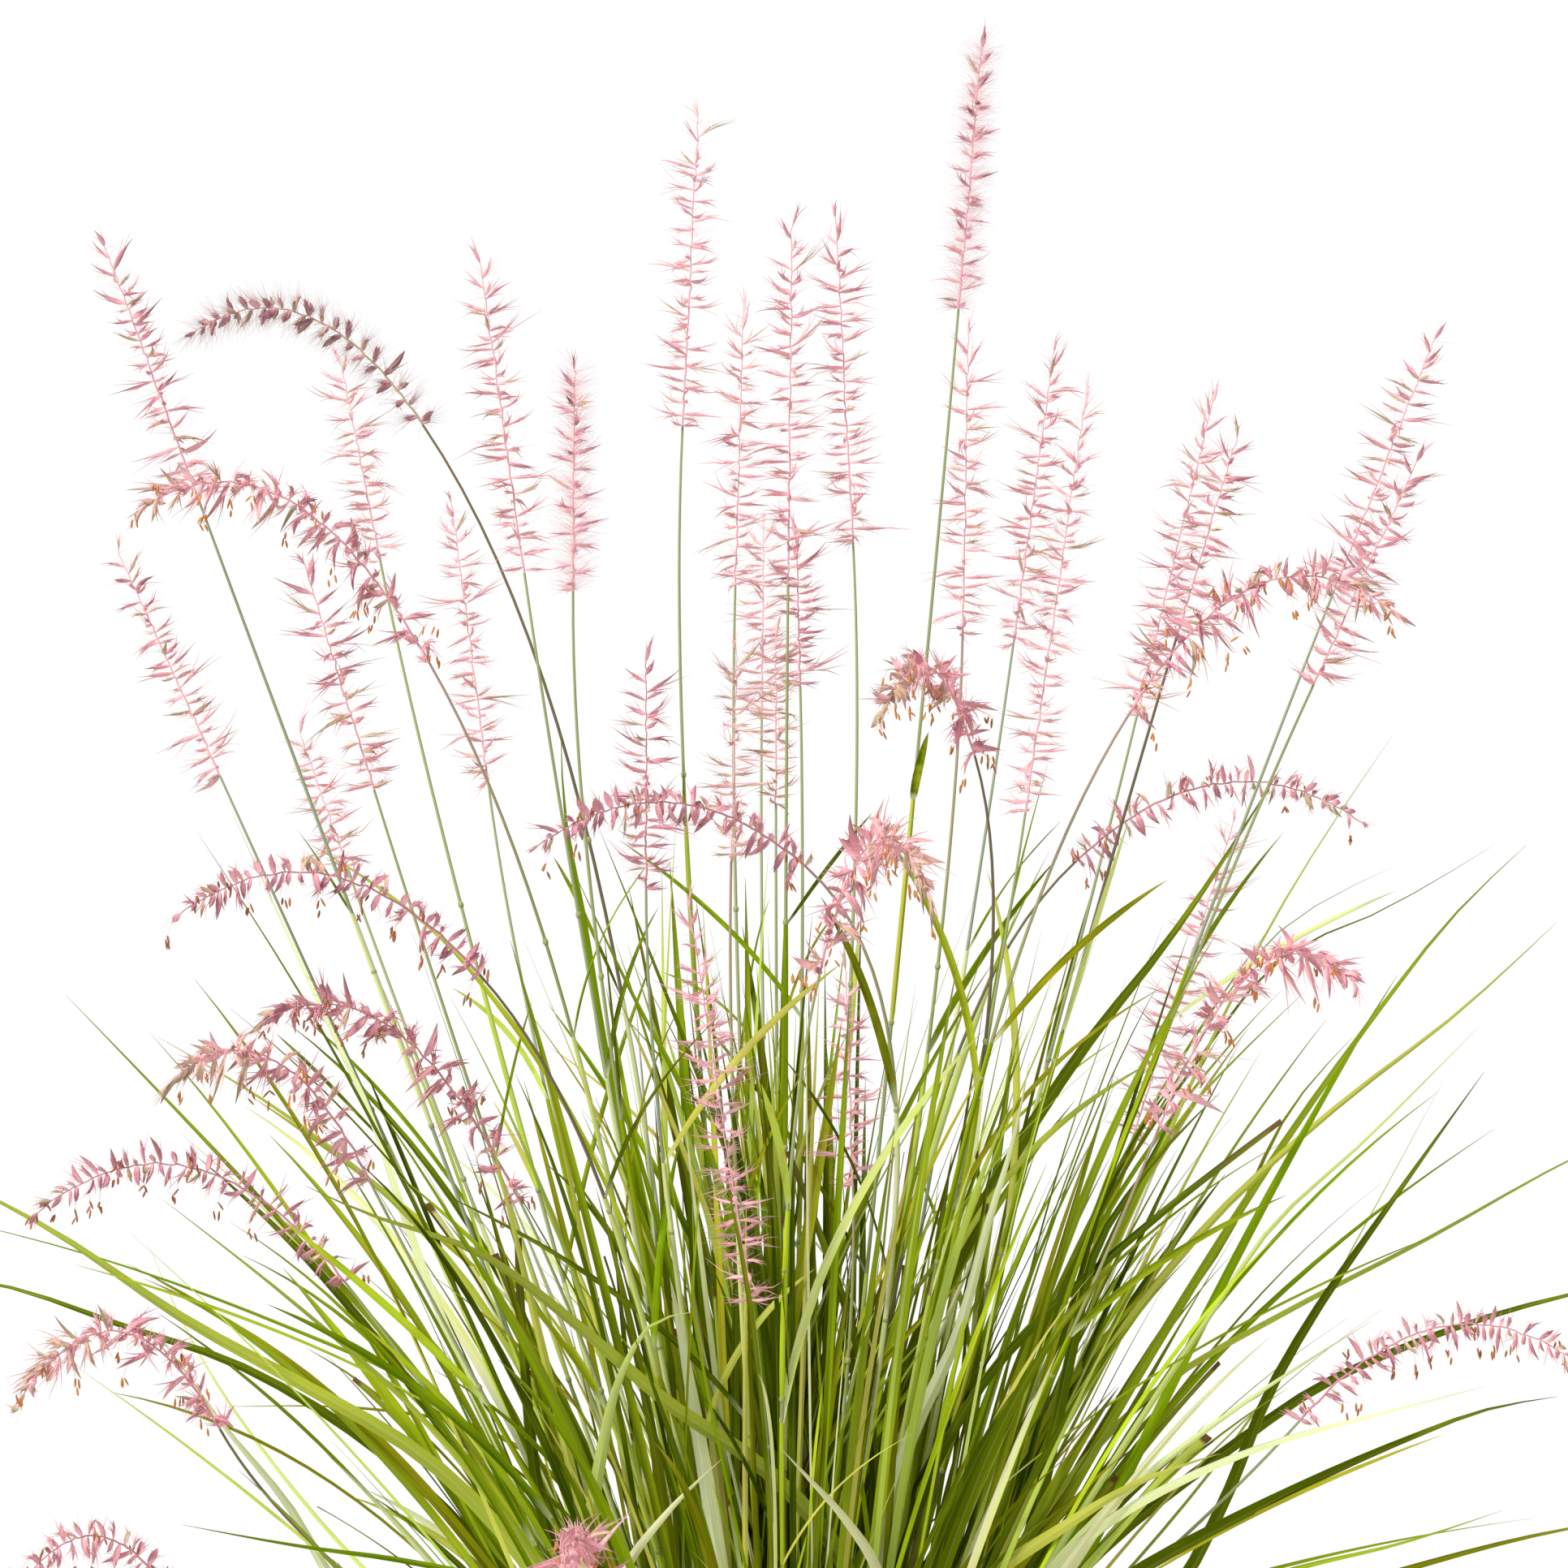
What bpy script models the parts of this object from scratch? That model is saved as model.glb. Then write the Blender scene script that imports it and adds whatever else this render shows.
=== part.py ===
"""Potted fountain grass clump: a plain round pot, its soil, and a tussock of flowering stems and leaves.

Metres, +Z up. The origin is the centre of the pot's base, and the clump's best side faces -Y.
Run with: blender --background --python part.py
"""
import math

import bmesh
import bpy
from mathutils import Vector
from mathutils.geometry import interpolate_bezier

# Driving dimensions
POT_HEIGHT = 0.28
POT_TOP_RADIUS = 0.160        # outside, at the rim
POT_BASE_RADIUS = 0.112       # outside, at the foot
POT_WALL = 0.007
POT_FLOOR = 0.012
RIM_HEIGHT = 0.026            # the thick band round the top
RIM_PROUD = 0.006             # how far the band stands out from the wall
POT_SIDES = 40
SOIL_TOP = 0.255
CROWN_TOP = 0.290
CROWN_RADIUS = 0.070
GAP = 0.0004                  # between pieces that rest on each other
CULM_RADIUS = 0.0013

# The clump is laid out on its front elevation, as it is seen from EYE_DISTANCE in front at EYE_HEIGHT
EYE_DISTANCE = 3.2
EYE_HEIGHT = 0.792

# Reach of the spikelets and bristles round the spike's axis, for each kind of spike
SPIKE_RADIUS = {"open": 0.015, "downy": 0.017, "plumed": 0.018, "comb": 0.013}

# Flowering stems: kind, foot of the spike, tip of the spike, and how high the spike arches.
# Each place is across, depth and height on the front elevation.
FLOWER_STEMS = [
    ("open", (-0.290, -0.060, 0.936), (-0.338, -0.080, 1.066), 0.000),
    ("open", (-0.278, 0.090, 0.796), (-0.332, 0.110, 0.915), 0.000),
    ("open", (-0.199, 0.150, 0.902), (-0.220, 0.170, 1.008), 0.000),
    ("open", (-0.202, -0.110, 0.789), (-0.239, -0.130, 0.909), 0.000),
    ("open", (-0.146, 0.230, 0.794), (-0.165, 0.260, 0.938), 0.004),
    ("open", (-0.128, 0.010, 0.896), (-0.151, 0.020, 1.058), 0.000),
    ("downy", (-0.104, -0.170, 0.887), (-0.103, -0.190, 1.006), 0.000),
    ("open", (-0.050, 0.090, 0.968), (-0.042, 0.100, 1.128), 0.000),
    ("open", (-0.024, 0.220, 0.890), (-0.020, 0.240, 1.032), 0.000),
    ("open", (0.002, -0.060, 0.890), (0.004, -0.070, 1.077), 0.000),
    ("open", (0.034, 0.140, 0.911), (0.025, 0.160, 1.080), 0.000),
    ("downy", (0.086, 0.020, 1.026), (0.098, 0.020, 1.164), 0.000),
    ("open", (0.088, 0.080, 0.866), (0.091, 0.090, 1.022), 0.000),
    ("open", (0.113, 0.190, 0.861), (0.134, 0.220, 1.013), 0.000),
    ("open", (0.119, -0.060, 0.778), (0.150, -0.080, 0.991), 0.000),
    ("open", (0.174, 0.110, 0.826), (0.213, 0.130, 0.988), 0.000),
    ("open", (0.194, -0.030, 0.866), (0.226, -0.030, 0.972), 0.000),
    ("open", (0.271, 0.060, 0.887), (0.324, 0.070, 1.020), 0.000),
    ("open", (0.261, -0.090, 0.841), (0.316, -0.120, 0.960), 0.000),
    ("open", (-0.068, -0.130, 0.740), (-0.068, -0.150, 0.862), 0.000),
    ("open", (-0.215, 0.200, 0.750), (-0.241, 0.240, 0.824), 0.000),
    ("open", (-0.011, 0.290, 0.826), (-0.010, 0.330, 0.927), 0.000),
    ("open", (0.008, 0.040, 0.840), (0.006, 0.040, 0.922), 0.000),
    ("open", (-0.004, 0.180, 0.782), (-0.004, 0.200, 0.874), 0.000),
    ("open", (-0.026, -0.120, 0.754), (-0.023, -0.130, 0.868), 0.000),
    ("open", (0.172, 0.170, 0.618), (0.224, 0.220, 0.780), 0.000),
    ("open", (-0.016, -0.160, 0.536), (-0.048, -0.230, 0.740), 0.000),
    ("open", (0.034, -0.090, 0.594), (0.030, -0.110, 0.710), 0.000),
    ("plumed", (-0.178, 0.060, 0.969), (-0.297, 0.090, 1.010), 0.070),
    ("plumed", (-0.175, -0.060, 0.852), (-0.322, -0.100, 0.924), 0.090),
    ("plumed", (0.171, -0.120, 0.828), (0.306, -0.180, 0.872), 0.080),
    ("comb", (-0.150, -0.190, 0.698), (-0.306, -0.260, 0.722), 0.070),
    ("comb", (0.011, -0.180, 0.751), (-0.129, -0.280, 0.756), 0.055),
    ("comb", (0.144, 0.050, 0.754), (0.292, 0.110, 0.768), 0.065),
    ("comb", (-0.216, -0.080, 0.546), (-0.376, -0.120, 0.574), 0.085),
    ("comb", (0.254, -0.070, 0.478), (0.400, -0.110, 0.500), 0.070),
    ("plumed", (-0.204, -0.200, 0.596), (-0.304, -0.270, 0.643), 0.070),
    ("plumed", (-0.130, -0.110, 0.586), (-0.262, -0.150, 0.672), 0.085),
    ("plumed", (-0.278, -0.130, 0.474), (-0.384, -0.170, 0.476), 0.090),
    ("plumed", (0.185, -0.150, 0.623), (0.286, -0.220, 0.688), 0.090),
    ("plumed", (0.094, -0.130, 0.806), (0.046, -0.240, 0.820), 0.070),
    ("plumed", (0.018, -0.240, 0.700), (0.074, -0.360, 0.730), 0.090),
    ("comb", (-0.290, -0.220, 0.370), (-0.390, -0.290, 0.375), 0.090),
    ("plumed", (-0.085, -0.260, 0.345), (-0.120, -0.370, 0.350), 0.130),
]

# Leaf tufts: the tip that the longest leaves reach, the rise of the tuft's arch, its distance from the
# crown's middle where it starts, and its thickness
LEAF_TUFTS = [
    ((-0.430, 0.040, 0.575), 0.080, 0.061, 0.012),
    ((-0.345, 0.190, 0.660), 0.080, 0.061, 0.012),
    ((-0.160, 0.370, 0.640), 0.080, 0.061, 0.012),
    ((0.090, 0.400, 0.620), 0.080, 0.061, 0.012),
    ((0.300, 0.280, 0.660), 0.080, 0.061, 0.012),
    ((0.430, 0.080, 0.640), 0.080, 0.061, 0.012),
    ((0.370, -0.200, 0.560), 0.080, 0.061, 0.012),
    ((0.180, -0.360, 0.560), 0.080, 0.061, 0.012),
    ((-0.070, -0.400, 0.600), 0.080, 0.061, 0.012),
    ((-0.300, -0.290, 0.580), 0.080, 0.061, 0.012),
    ((-0.095, 0.060, 0.830), 0.000, 0.030, 0.008),
    ((0.070, 0.150, 0.800), 0.000, 0.030, 0.008),
    ((-0.085, 0.190, 0.780), 0.000, 0.030, 0.008),
]

ROOT_SPREAD = 0.17            # a stem's distance from the crown's middle at its root, as a share of its reach
ROOT_LIMIT = 0.054            # the furthest that a stem's root is from the crown's middle
CULM_STEPS = 5
SPIKE_STEPS = 7
TUFT_STEPS = 9
CULM_BEND = 0.25              # share of a culm's length over which it turns towards its spike
ROD_BEVEL_RESOLUTION = 1      # six sides
# Shares of the way along a spike, and of its reach, that give its outline
SPIKE_OUTLINE = [(0.0, 0.15), (0.14, 0.75), (0.30, 1.0), (0.60, 0.95), (0.85, 0.60), (1.0, 0.10)]
TUFT_OUTLINE = [(0.0, 0.55), (0.25, 0.85), (0.55, 1.0), (0.85, 0.55), (1.0, 0.10)]


def material(name, colour, roughness):
    """A plain finish."""
    made = bpy.data.materials.new(name)
    made.use_nodes = True
    surface = made.node_tree.nodes["Principled BSDF"]
    surface.inputs["Base Color"].default_value = (*colour, 1)
    surface.inputs["Roughness"].default_value = roughness
    surface.inputs["Metallic"].default_value = 0.0
    return made


def add(name, data, finish):
    """Puts a mesh or curve into the scene as one named piece."""
    data.materials.append(finish)
    piece = bpy.data.objects.new(name, data)
    bpy.context.collection.objects.link(piece)
    return piece


def turned(name, profile, finish, sides=POT_SIDES):
    """A piece turned about the Z axis from a profile that starts and ends on the axis."""
    shape = bmesh.new()
    points = [shape.verts.new((radius, 0, height)) for radius, height in profile]
    edges = [shape.edges.new(pair) for pair in zip(points, points[1:])]
    bmesh.ops.spin(shape, geom=points + edges, cent=(0, 0, 0), axis=(0, 0, 1),
                   angle=2 * math.pi, steps=sides, use_merge=True)
    bmesh.ops.remove_doubles(shape, verts=shape.verts, dist=1e-6)
    bmesh.ops.recalc_face_normals(shape, faces=shape.faces)
    mesh = bpy.data.meshes.new(name)
    shape.to_mesh(mesh)
    shape.free()
    mesh.shade_smooth()
    mesh.set_sharp_from_angle(angle=math.radians(35))
    return add(name, mesh, finish)


def rod(name, line, radii, finish):
    """A closed tapering rod along a line of points."""
    curve = bpy.data.curves.new(name, "CURVE")
    curve.dimensions = "3D"
    curve.bevel_depth = 1.0
    curve.bevel_resolution = ROD_BEVEL_RESOLUTION
    curve.use_fill_caps = True
    spline = curve.splines.new("POLY")
    spline.points.add(len(line) - 1)
    for point, place_along, radius in zip(spline.points, line, radii):
        point.co = (*place_along, 1)
        point.radius = radius
    return add(name, curve, finish)


def place(across, depth, height):
    """Turns a place on the front elevation into a place in the model."""
    spread = 1 + depth / EYE_DISTANCE
    return Vector((across * spread, depth, EYE_HEIGHT + (height - EYE_HEIGHT) * spread))


def outlined(outline, share):
    """The height of an outline, which is a list of (share of the way, height), at a share of the way."""
    for (start, low), (end, high) in zip(outline, outline[1:]):
        if share <= end:
            return low + (high - low) * (share - start) / (end - start)
    return outline[-1][1]


def arch_line(start, end, rise, steps):
    """Points on one smooth arch from start to end, whose middle is pulled up by rise."""
    middle = (start + end) / 2 + Vector((0, 0, rise))
    return interpolate_bezier(start, start.lerp(middle, 2 / 3), end.lerp(middle, 2 / 3), end, steps + 1)


def root(towards, radius, lift):
    """Where on the crown's top a shoot starts, given the way it goes and its distance from the middle."""
    outward = Vector((towards.x, towards.y, 0))
    if outward.length > 0:
        outward.normalize()
    return outward * radius + Vector((0, 0, CROWN_TOP + lift))


def wall_radius(height):
    """The pot's outer radius at a height, without the rim band."""
    slope = (POT_TOP_RADIUS - RIM_PROUD - POT_BASE_RADIUS) / (POT_HEIGHT - RIM_HEIGHT)
    return POT_BASE_RADIUS + slope * height


def make_pot():
    """The hollow pot: a flat foot, a tapered wall and a thick band round the rim."""
    band_foot = POT_HEIGHT - RIM_HEIGHT
    edge = 0.003
    profile = [
        (0, 0), (POT_BASE_RADIUS - edge, 0), (POT_BASE_RADIUS, edge),
        (wall_radius(band_foot), band_foot), (POT_TOP_RADIUS, band_foot + edge),
        (POT_TOP_RADIUS, POT_HEIGHT - edge), (POT_TOP_RADIUS - edge, POT_HEIGHT),
        (wall_radius(POT_HEIGHT) - POT_WALL + edge, POT_HEIGHT),
        (wall_radius(POT_HEIGHT - edge) - POT_WALL, POT_HEIGHT - edge),
        (wall_radius(POT_FLOOR) - POT_WALL, POT_FLOOR), (0, POT_FLOOR),
    ]
    turned("pot", profile, material("pot_clay", (0.55, 0.27, 0.16), 0.8))


def make_soil():
    """The soil that fills the pot to a little below its rim."""
    foot = POT_FLOOR + GAP
    profile = [
        (0, foot), (wall_radius(foot) - POT_WALL - 2 * GAP, foot),
        (wall_radius(SOIL_TOP) - POT_WALL - 2 * GAP, SOIL_TOP), (0, SOIL_TOP),
    ]
    turned("soil", profile, material("soil", (0.06, 0.04, 0.03), 0.95))


def make_crown():
    """The tussock's low base of packed shoots, which stands on the soil."""
    foot = SOIL_TOP + GAP
    middle = (foot + CROWN_TOP) / 2
    profile = [
        (0, foot), (CROWN_RADIUS - 0.004, foot), (CROWN_RADIUS, middle),
        (CROWN_RADIUS - 0.004, CROWN_TOP), (0, CROWN_TOP),
    ]
    turned("crown", profile, material("crown", (0.35, 0.33, 0.14), 0.8), sides=24)


def make_flower_stem(name, kind, foot, tip, rise, finish):
    """One flowering stem: a thin culm, then a spindle that its spikelets and bristles fill."""
    foot, tip = place(*foot), place(*tip)
    reach = Vector((foot.x, foot.y, 0)).length
    start = root(foot, min(reach * ROOT_SPREAD, ROOT_LIMIT), CULM_RADIUS)
    spike = arch_line(foot, tip, rise, SPIKE_STEPS)
    bend = foot - (spike[1] - foot).normalized() * (foot - start).length * CULM_BEND
    culm = interpolate_bezier(start, start.lerp(bend, 0.5), bend, foot, CULM_STEPS + 1)
    outline = [outlined(SPIKE_OUTLINE, i / SPIKE_STEPS) for i in range(1, SPIKE_STEPS + 1)]
    radii = [CULM_RADIUS] * len(culm) + [SPIKE_RADIUS[kind] * share for share in outline]
    rod(name, culm + spike[1:], radii, finish)


def make_leaf_tuft(name, tip, rise, root_radius, thickness, finish):
    """One tuft of leaves as a slim arching bundle that reaches the tips of its longest leaves."""
    tip = place(*tip)
    start = root(tip, root_radius, thickness / 2)
    line = arch_line(start, tip, rise, TUFT_STEPS)
    radii = [thickness * outlined(TUFT_OUTLINE, i / TUFT_STEPS) for i in range(TUFT_STEPS + 1)]
    rod(name, line, radii, finish)


def main():
    """Builds every piece in an empty scene."""
    for old in list(bpy.data.objects):
        bpy.data.objects.remove(old)
    make_pot()
    make_soil()
    make_crown()
    flower = material("flower_stem", (0.62, 0.30, 0.35), 0.6)
    for number, (kind, foot, tip, rise) in enumerate(FLOWER_STEMS, 1):
        make_flower_stem(f"flower_stem_{number:02d}", kind, foot, tip, rise, flower)
    leaf = material("leaf", (0.22, 0.33, 0.06), 0.5)
    for number, (tip, rise, root_radius, thickness) in enumerate(LEAF_TUFTS, 1):
        make_leaf_tuft(f"leaf_tuft_{number:02d}", tip, rise, root_radius, thickness, leaf)


main()
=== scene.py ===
"""Potted fountain grass clump, in metres, with +Z up and its best side towards -Y.

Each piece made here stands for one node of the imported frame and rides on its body. Stems, leaves and
shoots are strands: one closed rod that bmesh makes is laid along many lines and joined into one mesh.
"""
import math
from collections import namedtuple

import bmesh
import bpy
import numpy as np
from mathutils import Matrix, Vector, noise
from mathutils.geometry import interpolate_bezier


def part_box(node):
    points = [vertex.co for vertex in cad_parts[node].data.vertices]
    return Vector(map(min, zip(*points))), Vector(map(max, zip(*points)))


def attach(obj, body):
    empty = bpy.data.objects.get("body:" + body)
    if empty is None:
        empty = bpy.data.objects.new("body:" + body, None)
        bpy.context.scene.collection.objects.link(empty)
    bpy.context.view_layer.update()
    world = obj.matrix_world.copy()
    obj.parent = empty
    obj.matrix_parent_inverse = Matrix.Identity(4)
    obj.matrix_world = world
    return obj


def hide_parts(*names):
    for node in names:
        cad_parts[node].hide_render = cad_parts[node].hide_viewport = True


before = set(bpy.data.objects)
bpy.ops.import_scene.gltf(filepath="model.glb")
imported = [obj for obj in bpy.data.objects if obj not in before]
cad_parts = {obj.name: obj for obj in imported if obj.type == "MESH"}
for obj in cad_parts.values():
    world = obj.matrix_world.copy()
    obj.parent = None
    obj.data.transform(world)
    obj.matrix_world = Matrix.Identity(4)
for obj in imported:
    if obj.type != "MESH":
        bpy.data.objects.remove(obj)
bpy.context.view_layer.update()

bl_info = {
    "name": "Fountain Grass Clump",
    "version": (1, 0, 0),
    "blender": (4, 5, 0),
    "location": "3D View > Sidebar > Grass",
    "description": "Builds a potted clump of fountain grass round its packed frame",
    "category": "Add Mesh",
}

POT_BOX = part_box("pot")
SOIL_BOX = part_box("soil")
CROWN_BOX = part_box("crown")
BODY = "root"
MAP_NAME = "OFBake"
UP = np.array((0.0, 0.0, 1.0))
AWAY = np.array((0.0, 1.0, 0.0))           # away from the viewer
GOLDEN_ANGLE = math.radians(137.508)

# The clump is laid out on its front elevation, as it is seen from EYE_DISTANCE in front at EYE_HEIGHT
EYE_DISTANCE = 3.2
EYE_HEIGHT = 0.792
ROOT_SPREAD = 0.17            # a stem's distance from the crown's middle, as a share of its reach
ROOT_LIMIT = 0.054
CULM_BEND = 0.25              # share of a culm's length over which it turns towards its spike

# Flowering stems: kind, look, foot of the spike, tip of the spike, and how high the spike arches.
# Each place is across, depth and height on the front elevation.
FLOWER_STEMS = [
    ("open", "warm", (-0.290, -0.060, 0.936), (-0.338, -0.080, 1.066), 0.000),
    ("open", "warm", (-0.278, 0.090, 0.796), (-0.332, 0.110, 0.915), 0.000),
    ("open", "pale", (-0.199, 0.150, 0.902), (-0.220, 0.170, 1.008), 0.000),
    ("open", "warm", (-0.202, -0.110, 0.789), (-0.239, -0.130, 0.909), 0.000),
    ("open", "pale", (-0.146, 0.230, 0.794), (-0.165, 0.260, 0.938), 0.004),
    ("open", "rose", (-0.128, 0.010, 0.896), (-0.151, 0.020, 1.058), 0.000),
    ("downy", "downy", (-0.104, -0.170, 0.887), (-0.103, -0.190, 1.006), 0.000),
    ("open", "pale", (-0.050, 0.090, 0.968), (-0.042, 0.100, 1.128), 0.000),
    ("open", "pale", (-0.024, 0.220, 0.890), (-0.020, 0.240, 1.032), 0.000),
    ("open", "rose", (0.002, -0.060, 0.890), (0.004, -0.070, 1.077), 0.000),
    ("open", "rose", (0.034, 0.140, 0.911), (0.025, 0.160, 1.080), 0.000),
    ("downy", "downy", (0.086, 0.020, 1.026), (0.098, 0.020, 1.164), 0.000),
    ("open", "pale", (0.088, 0.080, 0.866), (0.091, 0.090, 1.022), 0.000),
    ("open", "rose", (0.113, 0.190, 0.861), (0.134, 0.220, 1.013), 0.000),
    ("open", "pale", (0.119, -0.060, 0.778), (0.150, -0.080, 0.991), 0.000),
    ("open", "pale", (0.174, 0.110, 0.826), (0.213, 0.130, 0.988), 0.000),
    ("open", "warm", (0.194, -0.030, 0.866), (0.226, -0.030, 0.972), 0.000),
    ("open", "warm", (0.271, 0.060, 0.887), (0.324, 0.070, 1.020), 0.000),
    ("open", "warm", (0.261, -0.090, 0.841), (0.316, -0.120, 0.960), 0.000),
    ("open", "dusky", (-0.068, -0.130, 0.740), (-0.068, -0.150, 0.862), 0.000),
    ("open", "pale", (-0.215, 0.200, 0.750), (-0.241, 0.240, 0.824), 0.000),
    ("open", "pale", (-0.011, 0.290, 0.826), (-0.010, 0.330, 0.927), 0.000),
    ("open", "dusky", (0.008, 0.040, 0.840), (0.006, 0.040, 0.922), 0.000),
    ("open", "straw", (-0.004, 0.180, 0.782), (-0.004, 0.200, 0.874), 0.000),
    ("open", "straw", (-0.026, -0.120, 0.754), (-0.023, -0.130, 0.868), 0.000),
    ("open", "pale", (0.172, 0.170, 0.618), (0.224, 0.220, 0.780), 0.000),
    ("open", "rose", (-0.016, -0.160, 0.536), (-0.048, -0.230, 0.740), 0.000),
    ("open", "rose", (0.034, -0.090, 0.594), (0.030, -0.110, 0.710), 0.000),
    ("bottle", "smoky", (-0.178, 0.060, 0.969), (-0.297, 0.090, 1.010), 0.070),
    ("plumed", "golden", (-0.175, -0.060, 0.852), (-0.322, -0.100, 0.924), 0.090),
    ("plumed", "golden", (0.171, -0.120, 0.828), (0.306, -0.180, 0.872), 0.080),
    ("comb", "dusky", (-0.150, -0.190, 0.698), (-0.306, -0.260, 0.722), 0.070),
    ("comb", "dusky", (0.011, -0.180, 0.751), (-0.129, -0.280, 0.756), 0.055),
    ("comb", "ruddy", (0.144, 0.050, 0.754), (0.292, 0.110, 0.768), 0.065),
    ("comb", "dusky", (-0.216, -0.080, 0.546), (-0.376, -0.120, 0.574), 0.085),
    ("comb", "ruddy", (0.254, -0.070, 0.478), (0.400, -0.110, 0.500), 0.070),
    ("plumed", "olive", (-0.204, -0.200, 0.596), (-0.304, -0.270, 0.643), 0.070),
    ("plumed", "dusky", (-0.130, -0.110, 0.586), (-0.262, -0.150, 0.672), 0.085),
    ("plumed", "beige", (-0.278, -0.130, 0.474), (-0.384, -0.170, 0.476), 0.090),
    ("plumed", "rose", (0.185, -0.150, 0.623), (0.286, -0.220, 0.688), 0.090),
    ("plumed", "beige", (0.094, -0.130, 0.806), (0.046, -0.240, 0.820), 0.070),
    ("plumed", "beige", (0.018, -0.240, 0.700), (0.074, -0.360, 0.730), 0.090),
    ("comb", "ruddy", (-0.290, -0.220, 0.370), (-0.390, -0.290, 0.375), 0.090),
    ("plumed", "rose", (-0.085, -0.260, 0.345), (-0.120, -0.370, 0.350), 0.130),
]

# How each kind of spike is set with spikelets. Lengths are metres and angles degrees from the spike's
# axis, at its foot and at its tip. Jitter is how far spikelets stray from even spacing, doubles how
# often a second one stands beside the first, crossed whether that one stands across the axis from it,
# longer the share of extra long ones, and loose how many degrees they stray about an arching axis.
# Wisps and bristles are how many grow at each spikelet, and halo the share of the bristles that grow
# straight from the axis.
KINDS = {
    "open": dict(upright=True, spacing=0.0043, jitter=0.42, angles=(89, 46), length=(0.0145, 0.0220),
                 wide=0.00125, deep=0.00080, doubles=0.95, longer=0.12, wisps=4, bristles=7,
                 bristle=(0.004, 0.012), halo=0.35, scatter=0.40, curl=0.12, droop=0.0, anthers=0.0),
    "downy": dict(upright=True, spacing=0.0046, jitter=0.20, angles=(80, 44), length=(0.0130, 0.0165),
                  wide=0.00125, deep=0.00085, doubles=0.60, longer=0.0, wisps=4, bristles=44,
                  bristle=(0.0080, 0.0130), halo=0.65, scatter=0.55, curl=0.05, droop=0.0, anthers=0.0),
    "bottle": dict(upright=False, spacing=0.0043, jitter=0.22, angles=(72, 50), length=(0.0100, 0.0128),
                   wide=0.00220, deep=0.00130, doubles=0.95, crossed=False, longer=0.0, loose=30,
                   wisps=8, bristles=32, bristle=(0.006, 0.0150), halo=0.15, scatter=0.42, curl=0.08,
                   droop=0.0, anthers=0.0),
    "plumed": dict(upright=False, spacing=0.0042, jitter=0.35, angles=(80, 48), length=(0.0120, 0.0165),
                   wide=0.00185, deep=0.0012, doubles=0.80, crossed=True, longer=0.0, loose=58,
                   wisps=9, bristles=5, bristle=(0.004, 0.009), halo=0.15, scatter=0.48, curl=0.44,
                   droop=0.22, anthers=0.22),
    "comb": dict(upright=False, spacing=0.0046, jitter=0.24, angles=(86, 54), length=(0.0100, 0.0135),
                 wide=0.00175, deep=0.0010, doubles=0.80, crossed=True, longer=0.0, loose=22, wisps=7,
                 bristles=4, bristle=(0.004, 0.009), halo=0.2, scatter=0.44, curl=0.20, droop=0.12,
                 anthers=0.24),
}

# The tints of each look, as places on a ramp from 0 to 1: of spikelets at the foot and the tip of the
# spike, of bristles, of the spike's axis and of anthers. Spikelets run from olive over straw and rose
# to mauve, bristles from grey over haze to rose, the axis from green to mauve, anthers gold to brown.
# Ripe is how far the spikelets' ends have gone brown, full how broad they are beside the kind's own,
# and culm the tint of the stem, where it isn't left to chance.
LOOKS = {
    "pale": dict(spikelet=(0.45, 0.43), bristle=0.50, axis=0.42, anther=0.2, ripe=0.45, full=0.95),
    "rose": dict(spikelet=(0.52, 0.55), bristle=0.55, axis=0.50, anther=0.4, ripe=0.50, full=1.0),
    "warm": dict(spikelet=(0.46, 0.70), bristle=0.55, axis=0.50, anther=0.3, ripe=1.0, full=1.20),
    "ruddy": dict(spikelet=(0.62, 0.60), bristle=0.75, axis=0.80, anther=0.7, ripe=0.7, full=1.0),
    "dusky": dict(spikelet=(0.66, 0.72), bristle=0.75, axis=0.85, anther=0.8, ripe=0.75, full=1.1),
    "straw": dict(spikelet=(0.24, 0.26), bristle=0.40, axis=0.40, anther=0.2, ripe=0.9, full=0.9),
    "downy": dict(spikelet=(0.55, 0.88), bristle=0.47, axis=0.50, anther=0.2, ripe=0.5, full=1.0),
    "smoky": dict(spikelet=(0.88, 0.80), bristle=0.10, axis=0.0, anther=0.9, ripe=1.2, full=1.0,
                  culm=0.97),
    "golden": dict(spikelet=(0.64, 0.28), bristle=0.60, axis=0.65, anther=0.12, ripe=0.8, full=1.0,
                   culm=0.72),
    "olive": dict(spikelet=(0.60, 0.12), bristle=0.60, axis=0.70, anther=0.3, ripe=0.9, full=1.0),
    "beige": dict(spikelet=(0.59, 0.08), bristle=0.60, axis=0.65, anther=0.2, ripe=0.7, full=1.0),
}

# The tips that the leaf tufts' longest leaves reach. The last few tufts stand upright in the middle.
LEAF_TUFTS = [
    (-0.430, 0.040, 0.575),
    (-0.345, 0.190, 0.660),
    (-0.160, 0.370, 0.640),
    (0.090, 0.400, 0.620),
    (0.300, 0.280, 0.660),
    (0.430, 0.080, 0.640),
    (0.370, -0.200, 0.560),
    (0.180, -0.360, 0.560),
    (-0.070, -0.400, 0.600),
    (-0.300, -0.290, 0.580),
    (-0.095, 0.060, 0.830),
    (0.070, 0.150, 0.800),
    (-0.085, 0.190, 0.780),
]
UPRIGHT_TUFTS = 3

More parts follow.
